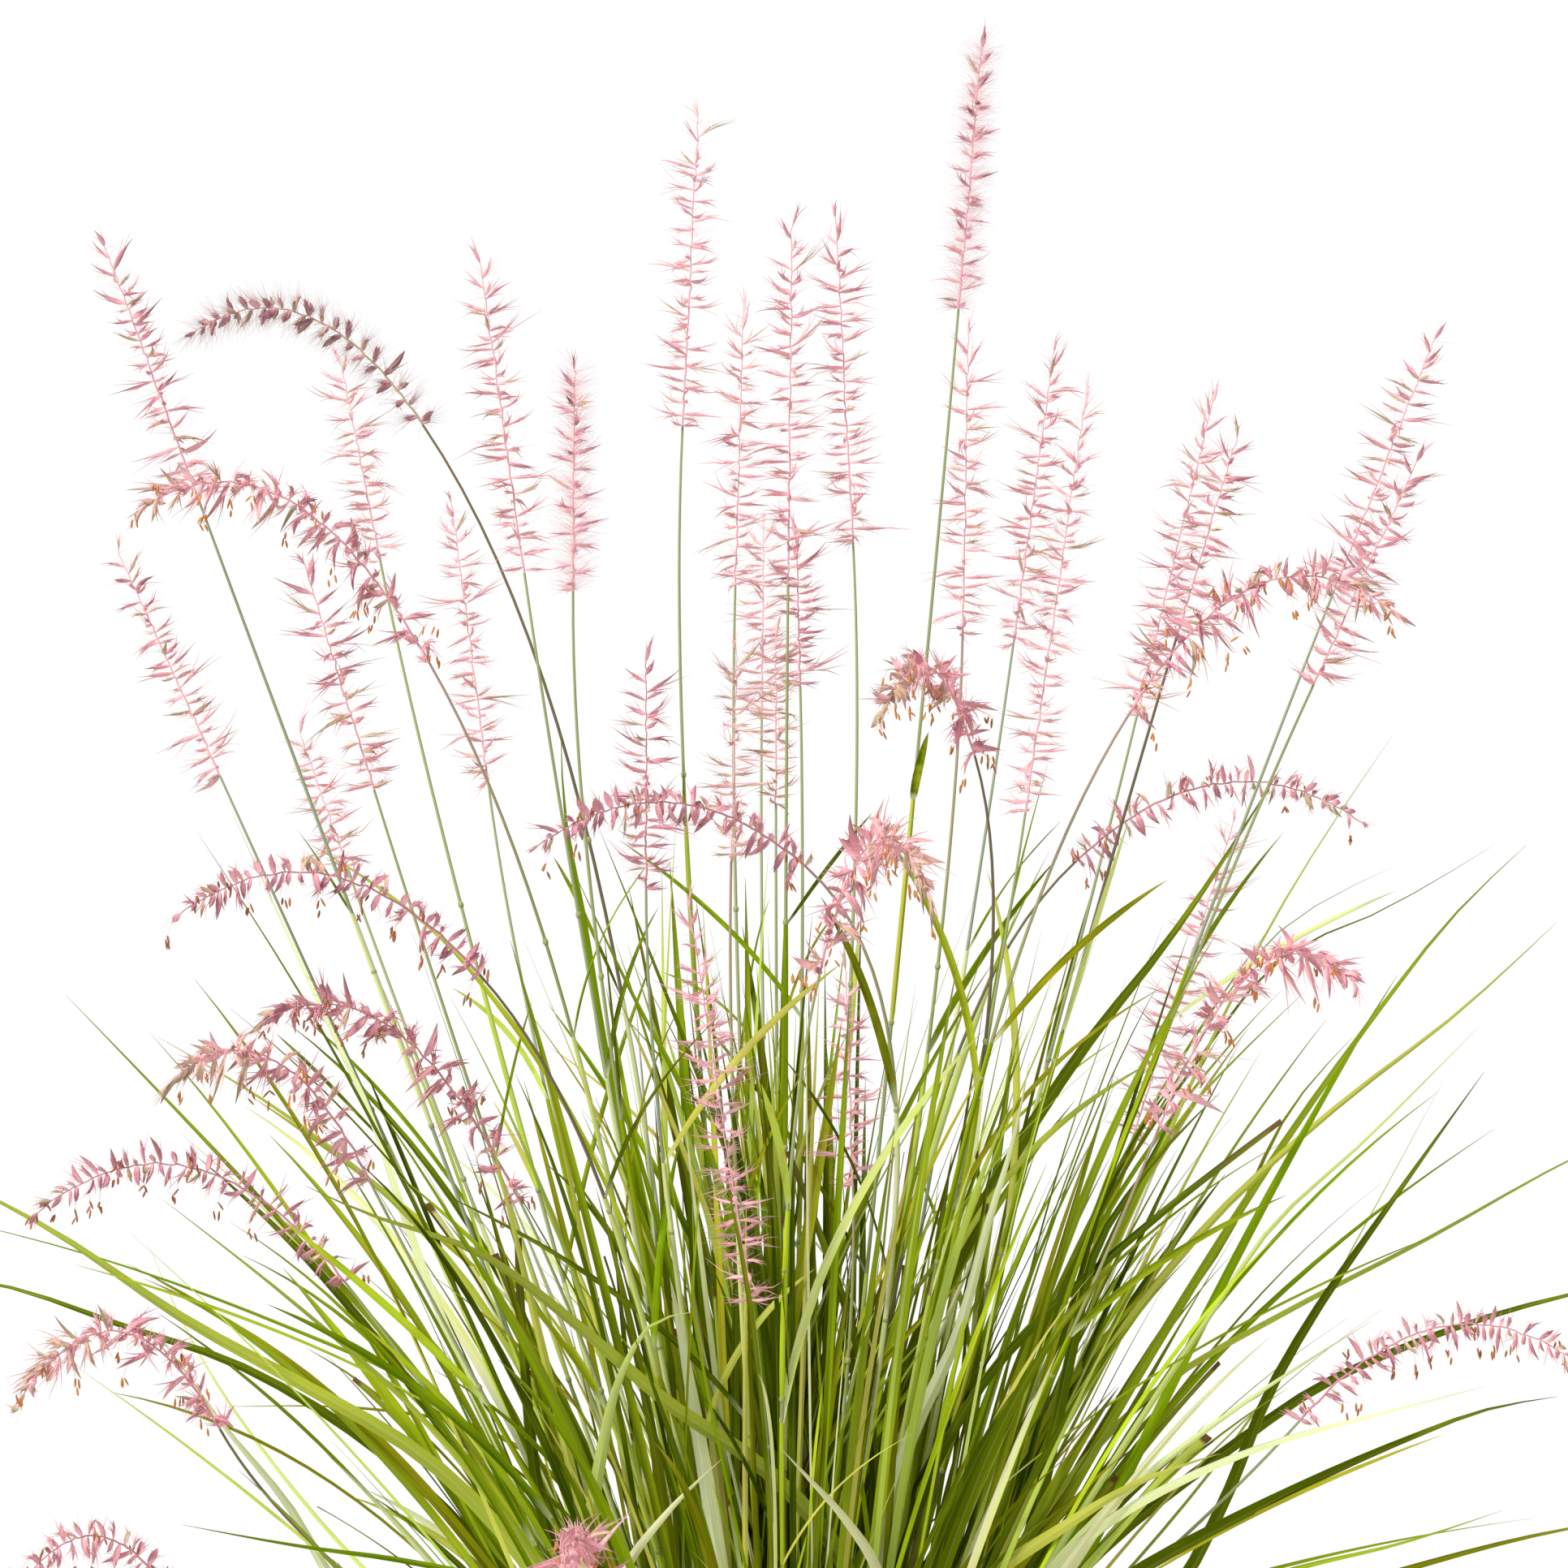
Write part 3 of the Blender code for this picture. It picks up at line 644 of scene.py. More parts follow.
def anther_finish(flower):
    """The anthers, gold to brown, browner at their ends."""
    made = Finish("anther", 0.6, 0.2)
    u, v = made.chart()
    colour = u.band(*ANTHER_BAND).ramp((0.0, flower.anther_gold), (1.0, flower.anther_brown))
    ends = v.band(*ROSE_ROWS).band(0.75, 1.0)
    return made.coloured(colour.coats((flower.anther_brown, ends * 0.5)))


def shoot_finish(pot, leaf):
    """The crown's shoot bases: straw or pale green, ribbed, browner at the soil."""
    made = Finish("shoot_base", 0.6, 0.3)
    u, v = made.chart()
    tint = (u * LEAF_BANDS).maths("FLOOR") / (LEAF_BANDS - 1)
    ribs = ((u * LEAF_BANDS).maths("FRACT") * 60).maths("SINE") * 0.5 + 0.5
    colour = tint.ramp((0.0, leaf.margin), (0.30, pot.shoot_straw), (0.65, pot.shoot_pale),
                       (1.0, leaf.light))
    colour = colour.coats((leaf.cut_end, ribs * 0.25), (leaf.cut_end, v.band(0.42, 0.05) * 0.8))
    made.raise_by(ribs, 0.4, 0.0003)
    return made.coloured(colour)


def clay_finish(pot):
    """Unglazed clay: cloudy, finely pitted, faintly ringed from turning, paler on the rim."""
    made = Finish("pot_clay", 0.85, 0.25)
    spot = made.places()
    height = made.node("ShaderNodeSeparateXYZ", inputs={0: spot}, output=2)
    clouds = made.noise(spot, 14.0, 6.0, 0.6)
    grain = made.noise(spot, 420.0, 3.0)
    flattened = made.node("ShaderNodeMapping", inputs={"Vector": spot, "Scale": (1.5, 1.5, 160.0)})
    rings = made.noise(flattened, 1.0, 3.0)
    rim = height.band(POT_BOX[1].z - 0.010, POT_BOX[1].z)
    clay = clouds.ramp((0.30, pot.clay_dark), (0.50, pot.clay), (0.72, pot.clay_light))
    made.raise_by(grain * 0.4 + rings * 0.6, 0.35, 0.0008)
    return made.coloured(clay.coats(
        (pot.clay, 0.55),
        (pot.clay_dark, grain.band(0.55, 0.75) * 0.35),
        (pot.clay_light, rings.band(0.50, 0.75) * 0.30),
        (pot.clay_light, rim * clouds.band(0.35, 0.65) * 0.6),
        (pot.clay_dark, height.band(0.05, 0.0) * clouds.band(0.30, 0.60) * 0.6),
    ))


def soil_finish(pot):
    """The bed of damp soil under the crumbs."""
    made = Finish("soil_bed", 0.95, 0.15)
    spot = made.places()
    coarse = made.noise(spot, 60.0, 5.0)
    fine = made.noise(spot, 260.0, 4.0)
    colour = coarse.ramp((0.35, darker(pot.soil, 0.5)), (0.60, pot.soil), (0.80, pot.crumb))
    made.raise_by(fine + coarse, 0.8, 0.002)
    return made.coloured(colour.coats((pot.crumb, fine.band(0.55, 0.75) * 0.5)))


def crumb_finish(pot):
    """Loose crumbs, from damp soil to dry bark."""
    made = Finish("soil_crumb", 0.95, 0.15)
    u, v = made.chart()
    colour = u.band(*CRUMB_BAND).ramp((0.0, darker(pot.soil, 0.7)), (0.55, pot.soil), (1.0, pot.crumb))
    return made.coloured(colour.coats((pot.crumb, v.band(0.5, 1.0) * 0.25)))


def floor_finish(studio):
    """Plain pale paper that fades out towards its edge."""
    made = Finish("floor_paper", 0.9, 0.1)
    spot = made.places()
    far = made.node("ShaderNodeVectorMath", {"operation": "LENGTH"}, {0: spot}, output=1)
    grain = made.noise(spot, 3.0, 2.0)
    made.feed("Alpha", far.band(0.97 * studio.floor_radius, 0.30 * studio.floor_radius))
    return made.coloured(grain.ramp((0.3, studio.floor_colour), (0.9, FLOOR_LIGHT)))


# ---------------------------------------------------------------- strands


def outlined(outline, shares):
    """The height of an outline at some shares of the way."""
    places, heights = zip(*outline)
    return np.interp(shares, places, heights)


def unit(ways):
    """Directions made one metre long."""
    return ways / np.maximum(np.linalg.norm(ways, axis=-1, keepdims=True), 1e-9)


def line_length(line):
    """The length of a line of points."""
    return np.linalg.norm(np.diff(line, axis=0), axis=1).sum()


def any_side(lines):
    """A way across each line that doesn't turn about it."""
    level = np.cross(lines[:, -1] - lines[:, 0], UP)
    level[np.linalg.norm(level, axis=1) < 1e-4] = (1, 0, 0)
    return np.broadcast_to(unit(level)[:, None, :], lines.shape)


def turned_sides(lines, sides, angles):
    """The ways across each line, turned about the line by some angles in radians."""
    ahead = unit(np.gradient(lines, axis=1))
    sides = unit(sides - (sides * ahead).sum(2, keepdims=True) * ahead)
    lifts = np.cross(ahead, sides)
    return sides * np.cos(angles)[..., None] + lifts * np.sin(angles)[..., None]


class Strand:
    """A closed rod whose rings can be laid along lines: its corners, faces and places on the map."""

    def __init__(self, sides, steps):
        shape = bmesh.new()
        bmesh.ops.create_cone(shape, cap_ends=True, segments=sides, radius1=1, radius2=1, depth=steps)
        upright = [edge for edge in shape.edges
                   if abs(edge.verts[0].co.z - edge.verts[1].co.z) > steps / 2]
        if steps > 1:
            bmesh.ops.subdivide_edges(shape, edges=upright, cuts=steps - 1)
        bmesh.ops.translate(shape, verts=shape.verts, vec=(0, 0, steps / 2))
        bmesh.ops.recalc_face_normals(shape, faces=shape.faces)
        shape.verts.index_update()
        self.across, self.lift, height = np.array([vertex.co for vertex in shape.verts]).T
        self.ring = np.round(height).astype(int)
        turns = np.round(np.arctan2(self.lift, self.across) / (2 * math.pi), 4) % 1
        corners, counts, turn, along = [], [], [], []
        for face in shape.faces:
            places = [vertex.index for vertex in face.verts]
            rows = self.ring[places] / steps
            round_it = turns[places]
            if rows.min() == rows.max():
                rows = rows + (0.5 - rows[0]) * CAP_WIDTH * (1 + self.lift[places])
            elif round_it.max() - round_it.min() > 0.5:
                round_it = np.where(round_it < 0.5, round_it + 1, round_it)
            along.extend(rows)
            turn.extend(round_it)
            corners.extend(places)
            counts.append(len(places))
        self.corners, self.counts, self.turn, self.along = map(np.array, (corners, counts, turn, along))
        shape.free()


STRANDS = {}


def strand_of(sides, steps):
    """The strand with so many sides and steps, which is made once."""
    if (sides, steps) not in STRANDS:
        STRANDS[sides, steps] = Strand(sides, steps)
    return STRANDS[sides, steps]


class Sheaf:
    """Strands and crumbs gathered for one piece, and then joined into one mesh."""

    def __init__(self):
        self.places, self.corners, self.counts, self.spots, self.slots = [], [], [], [], []
        self.size = 0

    def add(self, places, corners, counts, spots, slot=0):
        """Copies of one small shape: (copies, vertices, 3) places and (copies, corners, 2) map spots."""
        copies, vertices = places.shape[:2]
        shift = self.size + vertices * np.arange(copies)
        self.places.append(places.reshape(-1, 3))
        self.corners.append((corners[None, :] + shift[:, None]).ravel())
        self.counts.append(np.tile(counts, copies))
        self.spots.append(spots.reshape(-1, 2))
        self.slots.append(np.full(copies * len(counts), slot))
        self.size += copies * vertices

    def lay(self, strand, lines, sides, wide, deep, band, rows, slot=0, fold=0.0, reach=(0.0, 1.0)):
        """Lays one strand along each line. Sides are the ways across it; band is the stretch of the
        map that it goes round in, (start, width) for each strand, and rows the stretch it runs along."""
        ahead = unit(np.gradient(lines, axis=1))
        sides = unit(sides - (sides * ahead).sum(2, keepdims=True) * ahead)
        lifts = np.cross(ahead, sides)
        wide, deep, fold = (np.broadcast_to(size, lines.shape[:2])[:, strand.ring]
                            for size in (wide, deep, fold))
        out = wide * strand.across
        raised = deep * strand.lift + fold * np.abs(out)
        places = (lines[:, strand.ring] + sides[:, strand.ring] * out[:, :, None]
                  + lifts[:, strand.ring] * raised[:, :, None])
        start, width, first, last = (
            np.broadcast_to(value, len(lines))[:, None] for value in (*band, *reach))
        along = first + (last - first) * strand.along
        spots = np.stack([start + width * strand.turn, rows[0] + (rows[1] - rows[0]) * along], 2)
        self.add(places, strand.corners, strand.counts, spots, slot)

    def lay_round(self, facets, lines, radius, band, slot=0, rows=ROSE_ROWS, reach=(0.0, 1.0), flat=1.0):
        """Lays a strand of so many facets along each line, round or flattened, of a radius a ring."""
        self.lay(strand_of(facets, lines.shape[1] - 1), lines, any_side(lines), radius, radius * flat,
                 band, rows, slot, reach=reach)

    def join(self, name, finishes, sharp_angle=75):
        """Makes the mesh, smooth but for edges sharper than an angle in degrees, as a new object."""
        mesh = bpy.data.meshes.new(name)
        corners = np.concatenate(self.corners)
        counts = np.concatenate(self.counts)
        mesh.vertices.add(self.size)
        mesh.vertices.foreach_set("co", np.concatenate(self.places).astype(np.float32).ravel())
        mesh.loops.add(len(corners))
        mesh.loops.foreach_set("vertex_index", corners.astype(np.int32))
        mesh.polygons.add(len(counts))
        mesh.polygons.foreach_set("loop_start", (np.cumsum(counts) - counts).astype(np.int32))
        mesh.polygons.foreach_set("material_index", np.concatenate(self.slots).astype(np.int32))
        mesh.update(calc_edges=True)
        chart = mesh.uv_layers.new(name=MAP_NAME)
        chart.uv.foreach_set("vector", np.concatenate(self.spots).astype(np.float32).ravel())
        return finished(name, mesh, finishes, sharp_angle)


def finished(name, mesh, finishes, sharp_angle):
    """Puts a mesh into the scene, smooth but for its sharp edges, as a new object."""
    for material in finishes:
        mesh.materials.append(material)
    mesh.shade_smooth()
    mesh.set_sharp_from_angle(angle=math.radians(sharp_angle))
    mesh.validate()
    piece = bpy.data.objects.new(name, mesh)
    bpy.context.scene.collection.objects.link(piece)
    return piece


def stands_for(piece, node):
    """The piece rides on the one body and is shown in place of a node."""
    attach(piece, BODY)
    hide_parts(node)


def place(across, depth, height):
    """Turns a place on the front elevation into a place in the model."""
    spread = 1 + depth / EYE_DISTANCE
    return Vector((across * spread, depth, EYE_HEIGHT + (height - EYE_HEIGHT) * spread))


def smooth_line(knots, steps):
    """Evenly spaced points on one smooth curve through three or more knots."""
    knots = np.asarray(knots, float)
    gaps = np.linalg.norm(np.diff(knots, axis=0), axis=1)
    slopes = np.diff(knots, axis=0) / gaps[:, None]
    inner = slopes[1:] * gaps[:-1, None] + slopes[:-1] * gaps[1:, None]
    inner = inner / (gaps[1:] + gaps[:-1])[:, None]
    ends = np.vstack([[1.5 * slopes[0] - 0.5 * inner[0]], inner, [1.5 * slopes[-1] - 0.5 * inner[-1]]])
    t = np.linspace(0, 1, CURVE_STEPS + 1)[:-1, None]
    pieces = [
        (2 * t**3 - 3 * t**2 + 1) * a + (t**3 - 2 * t**2 + t) * gap * da
        + (3 * t**2 - 2 * t**3) * b + (t**3 - t**2) * gap * db
        for a, b, gap, da, db in zip(knots, knots[1:], gaps, ends, ends[1:])
    ]
    fine = np.vstack([*pieces, knots[-1:]])
    run = np.concatenate([[0], np.cumsum(np.linalg.norm(np.diff(fine, axis=0), axis=1))])
    even = np.linspace(0, run[-1], steps + 1)
    return np.stack([np.interp(even, run, fine[:, axis]) for axis in range(3)], 1)


def curved(starts, ways, pulls, lengths, steps):
    """Short lines that leave their starts one way and are pulled another on the way to their ends."""
    t = np.linspace(0, 1, steps + 1)[None, :, None]
    return starts[:, None] + lengths[:, None, None] * (ways[:, None] * t + pulls[:, None] * t**2)


def read_along(line, shares):
    """Places and directions at some shares of the way along a line."""
    spots = np.asarray(shares) * (len(line) - 1)
    low = np.minimum(spots.astype(int), len(line) - 2)
    part = (spots - low)[:, None]
    ahead = unit(np.gradient(line, axis=0))
    places, ways = (rows[low] * (1 - part) + rows[low + 1] * part for rows in (line, ahead))
    return places, unit(ways)


def stretch(band, tints, width=GRAIN_WIDTH):
    """Where on the map small strands of these tints go round, inside a finish's band."""
    low, high = band
    return low + np.clip(tints, 0, 1) * (high - low - width), width


def leaf_band(tints):
    """Where on the map leaves of these tints go round: the start and the width of their bands."""
    bands = np.clip(np.floor(np.asarray(tints) * LEAF_BANDS), 0, LEAF_BANDS - 1)
    return (bands + BAND_MARGIN) / LEAF_BANDS, (1 - 2 * BAND_MARGIN) / LEAF_BANDS


# ---------------------------------------------------------------- leaves


def lay_blades(sheaf, leaves, folds, thickness, rows=LEAF_ROWS, slot=0, outline=LEAF_OUTLINE):
    """Lays leaf blades, folded along the keel. A cut leaf keeps most of its width up to its end."""
    lines, sides, widths, tints, cuts = map(np.asarray, leaves)
    heights = outlined(outline, LEAF_SHARES * np.where(cuts, CUT_AT, 1.0)[:, None])
    wide = widths[:, None] / 2 * heights
    deep = np.maximum(thickness / 2 * np.minimum(1, heights * 1.5), thickness * 0.12)
    folds = np.asarray(folds)[:, None] * np.clip(1.25 - LEAF_SHARES, 0.25, 1.0)
    sheaf.lay(strand_of(8, LEAF_STEPS), lines, sides, wide, deep, leaf_band(tints), rows, slot,
              folds, (0.0, np.where(cuts, 1.0, LAST_GREEN)))


def picked(rng, chances, count=None):
    """Tints picked by their chances."""
    tints, shares = zip(*chances)
    return rng.choice(tints, count, p=shares)


def growing_lines(starts, headings, leans, splays, arches, lengths, sways):
    """Leaf lines that splay at the foot, straighten up and bend over on their way to the tip."""
    lean = (leans[:, None] + splays[:, None] * np.exp(-LEAF_SHARES / 0.16)
            + arches[:, None] * LEAF_SHARES**1.6)
    heading = headings[:, None] + sways[:, None] * LEAF_SHARES
    ways = np.stack([np.sin(lean) * np.cos(heading), np.sin(lean) * np.sin(heading), np.cos(lean)], 2)
    steps = (ways[:, 1:] + ways[:, :-1]) / 2 * (lengths / LEAF_STEPS)[:, None, None]
    return starts[:, None, :] + np.concatenate([np.zeros_like(starts)[:, None], np.cumsum(steps, 1)], 1)


def seeded_leaves(rng, count, heading, fill, leaf):
    """The lines, ways across, widths, tints and cuts of the leaves that fill one tuft."""
    arching = fill is FILLS["arching"]
    stray = rng.uniform(0, 1, count) < fill["stray"]
    thin = rng.uniform(0, 1, count) < 0.20
    headings = heading + rng.normal(0, 1, count) * np.radians(np.where(stray, 75, fill["headings"]))
    near, far = fill["roots"]
    radius = np.sqrt(rng.uniform(0, 1, count)) * (far - near) + near
    base = heading + rng.normal(0, math.radians(fill["root_headings"]), count)
    base = np.where(stray & (rng.uniform(0, 1, count) < 0.6), headings + math.pi, base)
    foot = CROWN_BOX[1].z - ROOT_DEPTH
    starts = np.stack([radius * np.cos(base), radius * np.sin(base), np.full(count, foot)], 1)
    right = math.cos(heading) if arching else 0.0
    leans = rng.triangular(2, 12, 38, count) if arching else rng.uniform(0, 13, count)
    leans = np.radians(leans + 3 * max(-right, 0))
    splays = np.radians(rng.uniform(*fill["splay"], count))
    arches = np.radians(rng.uniform(*fill["arch"], count)) * (1 - 0.30 * max(right, 0))
    lengths = rng.uniform(*fill["length"], count) * (1 + 0.08 * abs(right))
    leans = np.where(stray, leans * fill["stray_lean"], leans)
    arches = np.where(thin, arches * 0.3, arches)
    splays = np.where(stray | thin, splays * 0.4, splays)
    cuts = rng.uniform(0, 1, count) < np.where(thin, 3.0, 0.4) * leaf.cut_share
    lengths = np.where(cuts, lengths * 0.72, lengths)
    lines = growing_lines(starts, headings, leans, splays, arches, lengths, rng.normal(0, 0.25, count))
    reach = np.hypot(lines[:, -1, 0] / LEAF_REACH[0], lines[:, -1, 1] / LEAF_REACH[1])
    tall = (lines[:, :, 2].max(1) - foot) / (fill["top"] - foot)
    excess = np.maximum(np.maximum(reach, tall), 1)
    lines = starts[:, None] + (lines - starts[:, None]) / excess[:, None, None]
    across = np.stack([-np.sin(headings), np.cos(headings), np.zeros(count)], 1)[:, None, :]
    turns = (np.radians(rng.uniform(-85, 85, count))[:, None]
             + np.radians(rng.uniform(-120, 120, count))[:, None] * LEAF_SHARES)
    sides = turned_sides(lines, np.broadcast_to(across, lines.shape), turns)
    widths = leaf.width * np.clip(rng.lognormal(0, 0.30, count), 0.5, 1.9) * np.where(thin, 0.42, 1.0)
    tints = np.clip(picked(rng, LEAF_TINTS, count) + rng.uniform(-0.08, 0.08, count), 0, 0.999)
    return lines, sides, widths, tints, cuts


def long_leaf(depth, passes, rng):
    """One leaf that stands out on the front elevation: its line and its ways across."""
    flat = [Vector((0, 0, CROWN_BOX[1].z)), *(Vector((across, 0, height)) for across, height in passes)]
    run = np.cumsum([(there - here).length for here, there in zip(flat, flat[1:])])
    knots = [place(across, depth * done / run[-1], height) for (across, height), done in zip(passes, run)]
    first = place(passes[0][0], 0, passes[0][1])
    outward = Vector((first.x, knots[-1].y * 0.6, 0))
    outward = outward.normalized() * min(0.055, 0.35 * Vector((knots[0].x, knots[0].y, 0)).length)
    line = smooth_line([outward + Vector((0, 0, CROWN_BOX[1].z - ROOT_DEPTH)), *knots], LEAF_STEPS)
    sides = np.cross(unit(np.gradient(line, axis=0)), -AWAY)
    turns = math.radians(rng.uniform(-40, 40)) + math.radians(rng.uniform(-30, 30)) * LEAF_SHARES
    return line, turned_sides(line[None], unit(sides)[None], turns[None])[0]


def make_leaves(context):
    """Every leaf tuft: the leaves that stand out and the ones that fill it."""
    leaf = context.scene.grass_clump.leaf
    blade = leaf_finish("leaf_blade", leaf, LEAF_ROWS)
    headings = [math.atan2(y, x) for x, y, _ in LEAF_TUFTS]
    outer = len(LEAF_TUFTS) - UPRIGHT_TUFTS
    chosen = [[] for _ in LEAF_TUFTS]
    rng = np.random.default_rng(SEEDS["long leaves"])
    for width, depth, tint, cut, *passes in LONG_LEAVES:
        line, sides = long_leaf(depth, passes, rng)
        x, y, z = line[-1]
        off = [abs(math.remainder(math.atan2(y, x) - way, 2 * math.pi)) for way in headings[:outer]]
        near = [math.dist((x, y), tip[:2]) for tip in LEAF_TUFTS[outer:]]
        upright = math.hypot(x, y) < 0.16 and z > 0.6
        number = outer + int(np.argmin(near)) if upright else int(np.argmin(off))
        chosen[number].append((line, sides, width, tint, cut))
    for number, heading in enumerate(headings):
        rng = np.random.default_rng(SEEDS["tufts"] + number)
        if number < outer:
            fill, count = FILLS["arching"], leaf.outer_leaves + round(3 + 7 * math.cos(heading))
        else:
            fill, count = FILLS["upright"], leaf.inner_leaves
        sheaf = Sheaf()
        leaves = seeded_leaves(rng, count, heading, fill, leaf)
        lay_blades(sheaf, leaves, rng.uniform(0.30, 0.75, count), leaf.thickness)
        if chosen[number]:
            folds = rng.uniform(0.30, 0.65, len(chosen[number]))
            lay_blades(sheaf, zip(*chosen[number]), folds, leaf.thickness, outline=LONG_OUTLINE)
        name = f"leaf_tuft_{number + 1:02d}"
        stands_for(sheaf.join(name + "_blades", [blade], 30), name)


# ---------------------------------------------------------------- flowering stems


def stem_lines(foot, tip, rise):
    """The lines of a stem's culm and of its spike, which arches up by rise."""
    foot, tip = place(*foot), place(*tip)
    middle = (foot + tip) / 2 + Vector((0, 0, rise))
    spike = interpolate_bezier(foot, foot.lerp(middle, 2 / 3), tip.lerp(middle, 2 / 3), tip, AXIS_STEPS + 1)
    outward = Vector((foot.x, foot.y, 0))
    out = min(outward.length * ROOT_SPREAD, ROOT_LIMIT)
    start = outward.normalized() * out + Vector((0, 0, CROWN_BOX[1].z))
    bend = foot - (spike[1] - foot).normalized() * (foot - start).length * CULM_BEND
    culm = interpolate_bezier(start, start.lerp(bend, 0.5), bend, foot, CULM_STEPS + 1)
    return np.array(culm), np.array(spike)


def lay_stem_leaf(sheaf, culm, low, high, flower, leaf, rng):
    """A sheath wrapped round the culm from one share of its length to another, and its narrow leaf."""
    shares = np.linspace(0, 1, 9)
    sheath, _ = read_along(culm, low + (high - low) * shares)
    sheaf.lay_round(8, sheath[None], flower.culm_radius * outlined(SHEATH_OUTLINE, shares),
                    leaf_band([rng.uniform(0.35, 0.99)]), 3, GREEN_ROWS, (0.12, 0.30))
    where, ahead = read_along(culm, [high])
    out = unit(np.array([where[0, 0], where[0, 1], 0.0]) * 4 + rng.normal(0, 1, 3) * (1, 1, 0))
    way = unit(ahead[0] + out * math.tan(math.radians(rng.uniform(8, 38))))
    pull = (out * 0.35 - UP * rng.uniform(0.05, 0.30)) * rng.uniform(0.2, 1.0)
    length = rng.uniform(0.11, 0.24) if low < 0.3 else rng.uniform(0.08, 0.16)
    length = min(length, max(0.04, 0.9 * (STEM_LEAF_TOP - where[0, 2])))
    blade = curved(where, way[None], pull[None], np.array([length]), LEAF_STEPS)
    level = unit(np.cross(blade[:, -1] - blade[:, 0], UP))
    turns = np.radians(rng.uniform(-80, 80) + rng.uniform(-60, 60) * LEAF_SHARES)
    sides = turned_sides(blade, np.broadcast_to(level[:, None], blade.shape), turns[None])
    leaves = blade, sides, [rng.uniform(0.0026, 0.0046)], [rng.uniform(0.0, 0.85)], [False]
    lay_blades(sheaf, leaves, [0.5], leaf.thickness, GREEN_ROWS, 3)


def lay_culm(sheaf, culm, tint, flower, leaf, rng):
    """The culm with its joints, of which the lower ones bear a sheath and a leaf."""
    radius = flower.culm_radius * outlined(CULM_OUTLINE, np.linspace(0, 1, CULM_STEPS + 1))
    own_tint = picked(rng, CULM_TINTS) + rng.uniform(-0.05, 0.05)
    band = stretch(CULM_BAND, [own_tint if tint is None else tint], CULM_WIDTH)
    sheaf.lay_round(8, culm[None], radius, band)
    length = line_length(culm)
    shares = [rng.uniform(*reach) for reach in JOINTS]
    for share in shares:
        where, ahead = read_along(culm, [share])
        knot = np.linspace(-JOINT_LENGTH / 2, JOINT_LENGTH / 2, 5)[None, :, None] * ahead[:, None]
        sheaf.lay_round(8, knot + where[:, None], radius[0] * JOINT_SWELL,
                        stretch(CULM_BAND, [0.02], CULM_WIDTH), reach=(0.45, 0.5))
        if share < shares[-1]:
            lay_stem_leaf(sheaf, culm, share, share + min(0.22, SHEATH_LENGTH / length), flower, leaf, rng)


Spikelets = namedtuple("Spikelets", "starts ways pulls lengths lines tints")


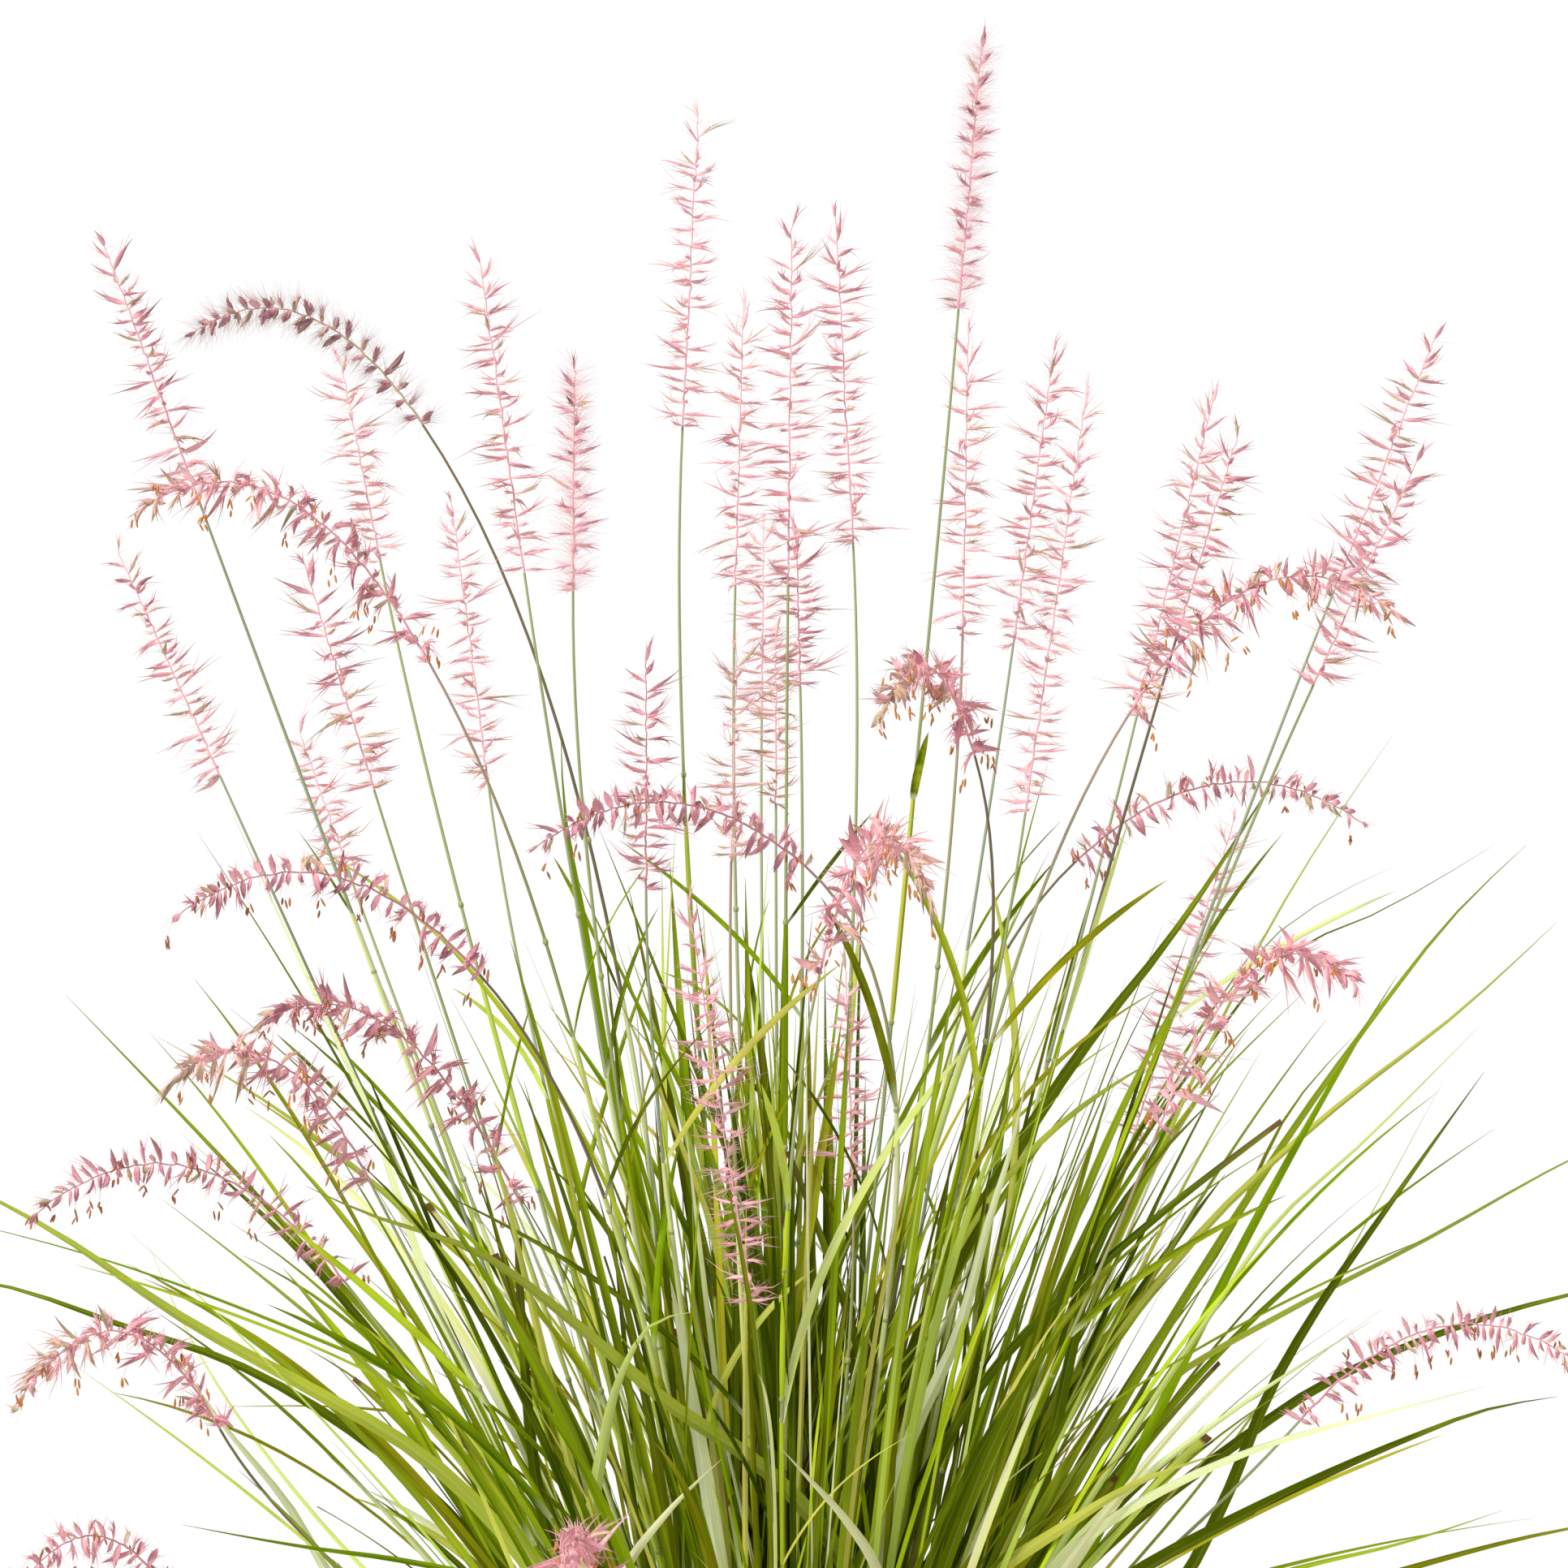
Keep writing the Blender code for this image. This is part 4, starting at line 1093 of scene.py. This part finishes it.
def lay_spikelets(sheaf, axis, shares, order, lesser, facts, tints, rng):
    """The spikelets: their starts, directions, pulls, lengths, lines and tints."""
    count = len(shares)
    starts, ahead = read_along(axis, shares)
    upright = facts["upright"]
    level = unit(np.cross(ahead, AWAY if upright else UP))
    rise = np.cross(level, ahead)
    if upright:
        turn = order * GOLDEN_ANGLE + lesser * rng.normal(math.pi, 0.9, count) + rng.normal(0, 0.4, count)
        turn = turn - 0.30 * np.sin(2 * (turn - math.pi / 2))
    else:
        turn = order % 2 * math.pi + rng.normal(0, math.radians(facts["loose"]), count)
        turn = turn + lesser * math.pi * facts["crossed"]
    outward = np.cos(turn)[:, None] * rise + np.sin(turn)[:, None] * level
    foot_angle, tip_angle = facts["angles"]
    lean = np.interp(shares, [0, 0.55, 0.78, 0.92, 0.97, 1],
                     [foot_angle, 0.97 * foot_angle, (foot_angle * 2 + tip_angle) / 3, tip_angle,
                      0.7 * tip_angle, 5])
    lean = np.radians(lean + rng.normal(0, 8, count) * np.interp(shares, [0.8, 1], [1, 0.3]))
    ways = unit(ahead * np.cos(lean)[:, None] + outward * np.sin(lean)[:, None])
    lengths = rng.uniform(*facts["length"], count)
    lengths *= outlined(SPIKE_OUTLINE, shares)
    lengths *= np.where(lesser, rng.uniform(0.45, 0.75, count), rng.uniform(0.8, 1.0, count))
    if facts["longer"]:
        lengths *= np.where(rng.uniform(0, 1, count) < facts["longer"], 1.3, 1.0)
    pulls = ahead * facts["curl"] * rng.uniform(-0.5, 1.2, count)[:, None] - UP * facts["droop"]
    pulls = pulls + rng.normal(0, 0.12 + facts["curl"] * 0.4, (count, 3))
    lines = curved(starts, ways, pulls, lengths, SPIKELET_STEPS)
    flicks = rng.normal(0, 0.65 * facts["curl"], (count, 3)) * lengths[:, None]
    done = np.linspace(0, 1, SPIKELET_STEPS + 1)
    lines = lines + flicks[:, None] * done[None, :, None]**3
    plump = rng.uniform(0.6, 1.25, count)[:, None]
    across = np.broadcast_to(np.cross(ahead, ways)[:, None], lines.shape)
    sides = turned_sides(lines, across, rng.uniform(-0.9, 0.9, count)[:, None])
    foot_tint, tip_tint = tints["spikelet"]
    ageing = shares if upright else shares**2.5
    tint = foot_tint + (tip_tint - foot_tint) * ageing + rng.normal(0, 0.07, count)
    odd = rng.uniform(0, 1, count) < 0.03 + 0.16 * tints["ripe"]
    tint = np.where(odd, rng.uniform(0.02, 0.26, count), tint)
    plump = plump * tints["full"] * np.where(odd, 0.8, 1.0)[:, None]
    ripe = np.clip(0.35 + 0.65 * tints["ripe"] * rng.uniform(0.4, 1.1, count), 0, 1)
    outline = outlined(AWNED_OUTLINE if upright else PLUMP_OUTLINE, done)
    sheaf.lay(strand_of(5, SPIKELET_STEPS), lines, sides, facts["wide"] * plump * outline,
              facts["deep"] * plump * outline, stretch(SPIKELET_BAND, tint), ROSE_ROWS, 1,
              reach=(0.0, ripe))
    return Spikelets(starts, ways, pulls, lengths, lines, tint)


def lay_wisps(sheaf, grown, facts, flower, rng):
    """The soft wisps that surround each spikelet."""
    owner = np.repeat(np.arange(len(grown.starts)), facts["wisps"])
    count = len(owner)
    curl = facts["curl"]
    ways = unit(grown.ways[owner] + 0.5 * facts["scatter"] * unit(rng.normal(0, 1, (count, 3))))
    lengths = grown.lengths[owner] * rng.uniform(0.45, 1.0, count)
    pulls = grown.pulls[owner] + rng.normal(0, 0.14 + curl * 0.32, (count, 3))
    done = rng.uniform(0, 0.30, count) * grown.lengths[owner]
    starts = grown.starts[owner] + grown.ways[owner] * done[:, None]
    steps = 3 if curl > 0.3 else 2
    slim = flower.wisp_radius * (1 + curl) * rng.uniform(0.7, 1.3, count)
    slim = slim[:, None] * outlined(WISP_OUTLINE, np.linspace(0, 1, steps + 1))
    faded = grown.tints[owner] * 0.60 + 0.19 + rng.normal(0, 0.06, count)
    sheaf.lay_round(3, curved(starts, ways, pulls, lengths, steps), slim, stretch(SPIKELET_BAND, faded), 1,
                    reach=(0.0, 0.40))


def lay_bristles(sheaf, axis, grown, facts, tint, flower, rng):
    """The bristles, which grow at the spikelets or straight from the axis."""
    owner = np.repeat(np.arange(len(grown.starts)), facts["bristles"])
    count = len(owner)
    free = rng.uniform(0, 1, count)[:, None] < facts["halo"]
    free_starts, ahead = read_along(axis, rng.uniform(0.0, 0.995, count))
    free_ways = rng.normal(0, 1, (count, 3))
    free_ways = unit(free_ways - (free_ways * ahead).sum(1, keepdims=True) * ahead)
    free_ways = unit(free_ways + ahead * rng.uniform(0.0, 0.8, count)[:, None])
    ways = unit(grown.ways[owner] + facts["scatter"] * unit(rng.normal(0, 1, (count, 3))))
    lengths = rng.uniform(*facts["bristle"], count)
    pulls = rng.normal(0, 0.10 + facts["curl"] * 0.4, (count, 3)) - UP * facts["droop"] * 0.5
    done = rng.uniform(0, 0.25, count)[:, None]
    starts = grown.starts[owner] + grown.ways[owner] * done * grown.lengths[owner][:, None]
    lines = curved(np.where(free, free_starts, starts), np.where(free, free_ways, ways), pulls, lengths, 1)
    taper = np.array([1.0, 0.3]) * flower.bristle_radius * rng.uniform(0.6, 1.2, count)[:, None]
    sheaf.lay_round(3, lines, taper, stretch(BRISTLE_BAND, tint + rng.normal(0, 0.08, count)), 1)


def lay_anthers(sheaf, grown, facts, tint, flower, rng):
    """Three anthers on threads below some of the spikelets."""
    bearing = np.flatnonzero(rng.uniform(0, 1, len(grown.starts)) < facts["anthers"])
    if not len(bearing):
        return
    owner = np.repeat(bearing, 3)
    count = len(owner)
    drop = rng.uniform(0.003, 0.008, count)
    drift = rng.normal(0, 0.28, (count, 3)) * (1, 1, 0) - UP
    ways = unit(drift + grown.ways[owner] * 0.6)
    threads = curved(grown.lines[owner, -2], ways, -UP * np.full((count, 1), 0.3), drop, 2)
    sheaf.lay_round(3, threads, flower.bristle_radius * 0.55, stretch(BRISTLE_BAND, np.full(count, 0.5)), 1)
    size = flower.anther_length * rng.uniform(0.75, 1.1, count)
    ways = unit(rng.normal(0, 0.30, (count, 3)) - UP)
    sheaf.lay_round(5, curved(threads[:, -1], ways, np.zeros((count, 3)), size, 3), ANTHER_SWELL,
                    stretch(ANTHER_BAND, tint + rng.normal(0, 0.2, count)), 2, flat=0.8)


def lay_spike(sheaf, spike, facts, tints, flower, rng):
    """The spike: its axis, its spikelets, their wisps and bristles, and its anthers."""
    length = line_length(spike)
    spike, _ = read_along(spike, np.linspace(0, 1 - TOP_SPIKELET / length, AXIS_STEPS + 1))
    nodes = int(length / facts["spacing"])
    jitter = facts["jitter"]
    shares = np.clip((np.arange(nodes) + rng.uniform(-jitter, jitter, nodes)) / nodes, *ENDS)
    wobble = rng.normal(0, AXIS_WOBBLE, (AXIS_STEPS + 1, 3))
    wobble[0] = 0
    axis = spike + wobble
    thick = flower.axis_radius * np.linspace(1.25, 0.55, AXIS_STEPS + 1)
    sheaf.lay_round(5, axis[None], thick * (1.0 if facts["upright"] else 1.15),
                    stretch(AXIS_BAND, [tints["axis"]], AXIS_WIDTH), 1)

    order = np.concatenate([np.arange(nodes), np.flatnonzero(rng.uniform(0, 1, nodes) < facts["doubles"])])
    lesser = np.arange(len(order)) >= nodes
    shares = shares[order] + np.where(lesser, rng.uniform(-0.3, 0.3, len(order)) / nodes, 0)
    shares[nodes - 1] = ENDS[1]
    shares = np.clip(shares, *ENDS)
    kept = ~(lesser & (shares > (0.86 if facts["upright"] else 1)))
    grown = lay_spikelets(sheaf, axis, shares[kept], order[kept], lesser[kept], facts, tints, rng)
    lay_wisps(sheaf, grown, facts, flower, rng)
    lay_bristles(sheaf, axis, grown, facts, tints["bristle"], flower, rng)
    lay_anthers(sheaf, grown, facts, tints["anther"], flower, rng)


def make_flower_stems(context):
    """Every flowering stem, each as one piece."""
    flower, leaf = context.scene.grass_clump.flower, context.scene.grass_clump.leaf
    finishes = [culm_finish(flower), spike_finish(flower), anther_finish(flower),
                leaf_finish("stem_leaf", leaf, GREEN_ROWS)]
    for number, (kind, look, foot, tip, rise) in enumerate(FLOWER_STEMS, 1):
        rng = np.random.default_rng(SEEDS["stems"] + number)
        culm, spike = stem_lines(foot, tip, rise)
        sheaf = Sheaf()
        lay_culm(sheaf, culm, LOOKS[look].get("culm"), flower, leaf, rng)
        lay_spike(sheaf, spike, KINDS[kind], LOOKS[look], flower, rng)
        name = f"flower_stem_{number:02d}"
        stands_for(sheaf.join(name + "_plume", finishes), name)


# ---------------------------------------------------------------- pot, soil and crown


def spun(profile, sides):
    """A bmesh turned about the Z axis from a profile of radius and height that starts and ends on it."""
    shape = bmesh.new()
    points = [shape.verts.new((radius, 0, height)) for radius, height in profile]
    edges = [shape.edges.new(pair) for pair in zip(points, points[1:])]
    bmesh.ops.spin(shape, geom=points + edges, cent=(0, 0, 0), axis=(0, 0, 1),
                   angle=2 * math.pi, steps=sides, use_merge=True)
    bmesh.ops.remove_doubles(shape, verts=shape.verts, dist=1e-6)
    bmesh.ops.recalc_face_normals(shape, faces=shape.faces)
    shape.verts.index_update()
    return shape


def mesh_of(name, shape):
    """A new mesh from a bmesh, which is used up."""
    mesh = bpy.data.meshes.new(name)
    shape.to_mesh(mesh)
    shape.free()
    return mesh


def wall_radius(pot, height):
    """The pot's outer radius at a height, without the rim band."""
    top = POT_BOX[1].x - pot.rim_proud
    slope = (top - pot.base_radius) / (POT_BOX[1].z - pot.rim_height)
    return pot.base_radius + slope * height


def make_pot(context):
    """The hollow clay pot, with rounded edges."""
    pot = context.scene.grass_clump.pot
    height, rim = POT_BOX[1].z, POT_BOX[1].x
    band_foot = height - pot.rim_height
    shape = spun([
        (0, 0), (pot.base_radius, 0), (wall_radius(pot, band_foot), band_foot),
        (rim, band_foot + RIM_SLOPE), (rim, height), (wall_radius(pot, height) - pot.wall, height),
        (wall_radius(pot, pot.floor) - pot.wall, pot.floor), (0, pot.floor),
    ], 128)
    rings = [edge for edge in shape.edges if len(edge.link_faces) == 2
             and edge.calc_face_angle() > math.radians(25)]
    bmesh.ops.bevel(shape, geom=rings, offset=ROUNDING, segments=4, profile=0.5, affect="EDGES",
                    material=-1)
    stands_for(finished("pot_turned", mesh_of("pot_clay", shape), [clay_finish(pot)], 50), "pot")


def face_turns(face):
    """How far round the Z axis each corner of a face is, with no jump from 1 to 0 inside the face."""
    turns = [math.atan2(vertex.co.y, vertex.co.x) / (2 * math.pi) % 1
             if vertex.co.xy.length > 1e-6 else None for vertex in face.verts]
    known = [turn for turn in turns if turn is not None]
    if max(known) - min(known) > 0.5:
        turns = [turn + 1 if turn is not None and turn < 0.5 else turn for turn in turns]
        known = [turn for turn in turns if turn is not None]
    return [sum(known) / len(known) if turn is None else turn for turn in turns]


def soil_bed(pot):
    """The bed that fills the pot, uneven on top: its places, corners, counts and places on the map."""
    foot, top, edge = SOIL_BOX[0].z, SOIL_BOX[1].z, SOIL_BOX[1].x
    low = wall_radius(pot, foot) - pot.wall - SOIL_GAP
    profile = [(edge * i / BED_RINGS, top) for i in range(BED_RINGS + 1)]
    profile += [(edge + (low - edge) * i / SIDE_RINGS, top + (foot - top) * i / SIDE_RINGS)
                for i in range(1, SIDE_RINGS + 1)]
    profile += [(low * i / SIDE_RINGS, foot) for i in reversed(range(SIDE_RINGS))]
    run = np.cumsum([math.dist(here, there) for here, there in zip(profile, profile[1:])])
    shape = spun(profile, BED_SIDES)
    for vertex in shape.verts:
        if vertex.co.z > top - 1e-5:
            middle = 1 - (vertex.co.xy.length / edge) ** 6
            lump = sum(noise.noise(vertex.co * close) * high for close, high in LUMPS)
            vertex.co.z += (lump - LUMPS[0][1]) * middle - 0.001 * (1 - middle)
    corners, counts, spots = [], [], []
    for face in shape.faces:
        for vertex, turn in zip(face.verts, face_turns(face)):
            radius, height = vertex.co.xy.length, vertex.co.z
            if height > top - 0.01 and radius < edge - 1e-4 or height > top - 0.004:
                done = radius
            elif height < foot + 1e-5:
                done = run[-1] - radius
            else:
                done = edge + (top - height) / (top - foot) * (run[-1 - SIDE_RINGS] - edge)
            spots.append((BED_BAND[0] + (BED_BAND[1] - BED_BAND[0]) * min(turn, 1),
                          0.01 + 0.98 * done / run[-1]))
            corners.append(vertex.index)
        counts.append(len(face.verts))
    places = np.array([vertex.co for vertex in shape.verts])
    shape.free()
    return places[None], np.array(corners), np.array(counts), np.array(spots)[None]


def soil_crumbs(pot):
    """The loose crumbs on the bed: their places, corners, counts and places on the map."""
    grain = bmesh.new()
    bmesh.ops.create_icosphere(grain, subdivisions=1, radius=0.5)
    grain.verts.index_update()
    ball = np.array([vertex.co for vertex in grain.verts])
    corners = np.array([vertex.index for face in grain.faces for vertex in face.verts])
    counts = np.array([len(face.verts) for face in grain.faces])
    grain.free()
    rng = np.random.default_rng(SEEDS["crumbs"])
    count = pot.crumbs
    heading = rng.uniform(0, 2 * math.pi, count)
    radius = (SOIL_BOX[1].x - 0.006) * np.sqrt(rng.uniform(0.12, 1, count))
    size = np.minimum(pot.crumb_size * rng.lognormal(0, 0.45, count), 0.011)
    centre = np.stack([radius * np.cos(heading), radius * np.sin(heading),
                       SOIL_BOX[1].z - 0.0015 + size * 0.15], 1)
    frames = np.linalg.qr(rng.normal(0, 1, (count, 3, 3)))[0]
    frames *= np.sign(np.linalg.det(frames))[:, None, None]
    scale = size[:, None, None] * rng.uniform(0.5, 1.25, (count, 1, 3))
    rough = ball[None] * scale * rng.uniform(0.75, 1.2, (count, len(ball), 1))
    low, high = CRUMB_BAND
    tint = low + (high - low - 0.02) * rng.uniform(0, 1, count)
    across, _, up = ball[corners].T + 0.5
    spots = np.stack(np.broadcast_arrays(tint[:, None] + 0.02 * across, 0.02 + 0.96 * up), 2)
    return centre[:, None] + rough @ frames, corners, counts, spots


def make_soil(context):
    """The soil: an uneven bed that fills the pot, with loose crumbs on top."""
    pot = context.scene.grass_clump.pot
    sheaf = Sheaf()
    sheaf.add(*soil_bed(pot))
    sheaf.add(*soil_crumbs(pot), 1)
    stands_for(sheaf.join("soil_crumbled", [soil_finish(pot), crumb_finish(pot)], 40), "soil")


def make_crown(context):
    """The crown: packed shoot bases that lean outwards, from which the stems and leaves grow."""
    pot, leaf = context.scene.grass_clump.pot, context.scene.grass_clump.leaf
    rng = np.random.default_rng(SEEDS["shoots"])
    count = pot.shoots
    order = np.arange(count)
    edge = CROWN_BOX[1].x
    radius = (edge - 0.005) * np.sqrt((order + 0.5) / count)
    heading = order * GOLDEN_ANGLE
    out = np.stack([np.cos(heading), np.sin(heading), np.zeros(count)], 1)
    starts = out * radius[:, None] * 0.93 + UP * (CROWN_BOX[0].z + 0.001)
    lean = np.radians(2 + 30 * radius / edge + rng.normal(0, 5, count))
    ways = out * np.sin(lean)[:, None] + UP * np.cos(lean)[:, None]
    heights = rng.uniform(0.045, 0.085, count) * (1.1 - 0.35 * radius / edge)
    lines = curved(starts, ways, out * 0.12, heights, SHOOT_STEPS)
    girth = rng.uniform(0.0040, 0.0062, count)[:, None] * SHOOT_SWELL
    flat = rng.uniform(0.55, 0.9, count)[:, None]
    sides = turned_sides(lines, any_side(lines), rng.uniform(0, math.pi, count)[:, None])
    tints = 0.30 + 0.5 * rng.uniform(0, 1, count) + 0.25 * (rng.uniform(0, 1, count) < 0.3)
    sheaf = Sheaf()
    sheaf.lay(strand_of(10, SHOOT_STEPS), lines, sides, girth, girth * flat,
              leaf_band(np.clip(tints, 0, 0.999)), (0.01, 0.99))
    stands_for(sheaf.join("crown_shoots", [shoot_finish(pot, leaf)], 60), "crown")


# ---------------------------------------------------------------- stage


def make_stage(context):
    """The pale floor, the soft light and the camera."""
    studio = context.scene.grass_clump.studio
    shape = bmesh.new()
    bmesh.ops.create_circle(shape, cap_ends=True, segments=96, radius=studio.floor_radius)
    floor = finished("floor", mesh_of("floor", shape), [floor_finish(studio)], 75)
    floor.location.z = -0.0005

    world = bpy.data.worlds.new("studio")
    world.use_nodes = True
    sky = world.node_tree.nodes["Background"].inputs
    sky["Color"].default_value = (1, 1, 1, 1)
    seen = Wire(world.node_tree).node("ShaderNodeLightPath")
    world.node_tree.links.new((seen * (1 - studio.sky_strength) + studio.sky_strength).socket,
                              sky["Strength"])
    context.scene.world = world

    for name, strength, spread, towards in (
            ("key", studio.key_strength, 24, (0.58, 0.56, -0.62)),
            ("fill", studio.fill_strength, 60, (-0.60, -0.30, -0.75))):
        light = bpy.data.lights.new(name, "SUN")
        light.energy = strength
        light.angle = math.radians(spread)
        lamp = bpy.data.objects.new(name, light)
        lamp.rotation_euler = Vector(towards).to_track_quat("-Z", "Y").to_euler()
        context.scene.collection.objects.link(lamp)

    lens = bpy.data.cameras.new("camera")
    lens.lens = lens.sensor_width * EYE_DISTANCE / studio.view_width
    camera = bpy.data.objects.new("camera", lens)
    camera.location = (0, -EYE_DISTANCE, EYE_HEIGHT)
    camera.rotation_euler = (math.pi / 2, 0, 0)
    context.scene.collection.objects.link(camera)
    context.scene.camera = camera
    context.scene.view_settings.view_transform = "Standard"


# ---------------------------------------------------------------- operators


class GRASS_OT_stage(bpy.types.Operator):
    """Sets up the floor, the light and the camera"""

    bl_idname = "grass.stage"
    bl_label = "Studio"

    def execute(self, context):
        make_stage(context)
        return {"FINISHED"}


class GRASS_OT_pot(bpy.types.Operator):
    """Turns the clay pot"""

    bl_idname = "grass.pot"
    bl_label = "Pot"

    def execute(self, context):
        make_pot(context)
        return {"FINISHED"}


class GRASS_OT_soil(bpy.types.Operator):
    """Fills the pot with soil"""

    bl_idname = "grass.soil"
    bl_label = "Soil"

    def execute(self, context):
        make_soil(context)
        return {"FINISHED"}


class GRASS_OT_crown(bpy.types.Operator):
    """Packs the shoot bases of the crown"""

    bl_idname = "grass.crown"
    bl_label = "Crown"

    def execute(self, context):
        make_crown(context)
        return {"FINISHED"}


class GRASS_OT_leaves(bpy.types.Operator):
    """Grows the leaf tufts"""

    bl_idname = "grass.leaves"
    bl_label = "Leaves"

    def execute(self, context):
        make_leaves(context)
        return {"FINISHED"}


class GRASS_OT_flower_stems(bpy.types.Operator):
    """Grows the flowering stems"""

    bl_idname = "grass.flower_stems"
    bl_label = "Flowering stems"

    def execute(self, context):
        make_flower_stems(context)
        return {"FINISHED"}


class GRASS_PT_clump(bpy.types.Panel):
    """Lists the pieces of the clump and their settings"""

    bl_idname = "GRASS_PT_clump"
    bl_label = "Fountain Grass Clump"
    bl_space_type = "VIEW_3D"
    bl_region_type = "UI"
    bl_category = "Grass"

    def draw(self, context):
        clump = context.scene.grass_clump
        for operator, group in PIECES:
            box = self.layout.box()
            box.operator(operator.bl_idname)
            if group:
                for name in getattr(clump, group).__annotations__:
                    box.prop(getattr(clump, group), name)


PIECES = (
    (GRASS_OT_stage, "studio"),
    (GRASS_OT_pot, "pot"),
    (GRASS_OT_soil, None),
    (GRASS_OT_crown, None),
    (GRASS_OT_leaves, "leaf"),
    (GRASS_OT_flower_stems, "flower"),
)
CLASSES = (PotSettings, FlowerSettings, LeafSettings, StudioSettings, ClumpSettings,
           *(operator for operator, _ in PIECES), GRASS_PT_clump)


def register():
    for made in CLASSES:
        bpy.utils.register_class(made)
    bpy.types.Scene.grass_clump = bpy.props.PointerProperty(type=ClumpSettings)


def unregister():
    del bpy.types.Scene.grass_clump
    for made in reversed(CLASSES):
        bpy.utils.unregister_class(made)


def main():
    """Makes every piece in order."""
    register()
    for operator, _ in PIECES:
        group, name = operator.bl_idname.split(".")
        getattr(getattr(bpy.ops, group), name)()


if __name__ == "__main__":
    main()
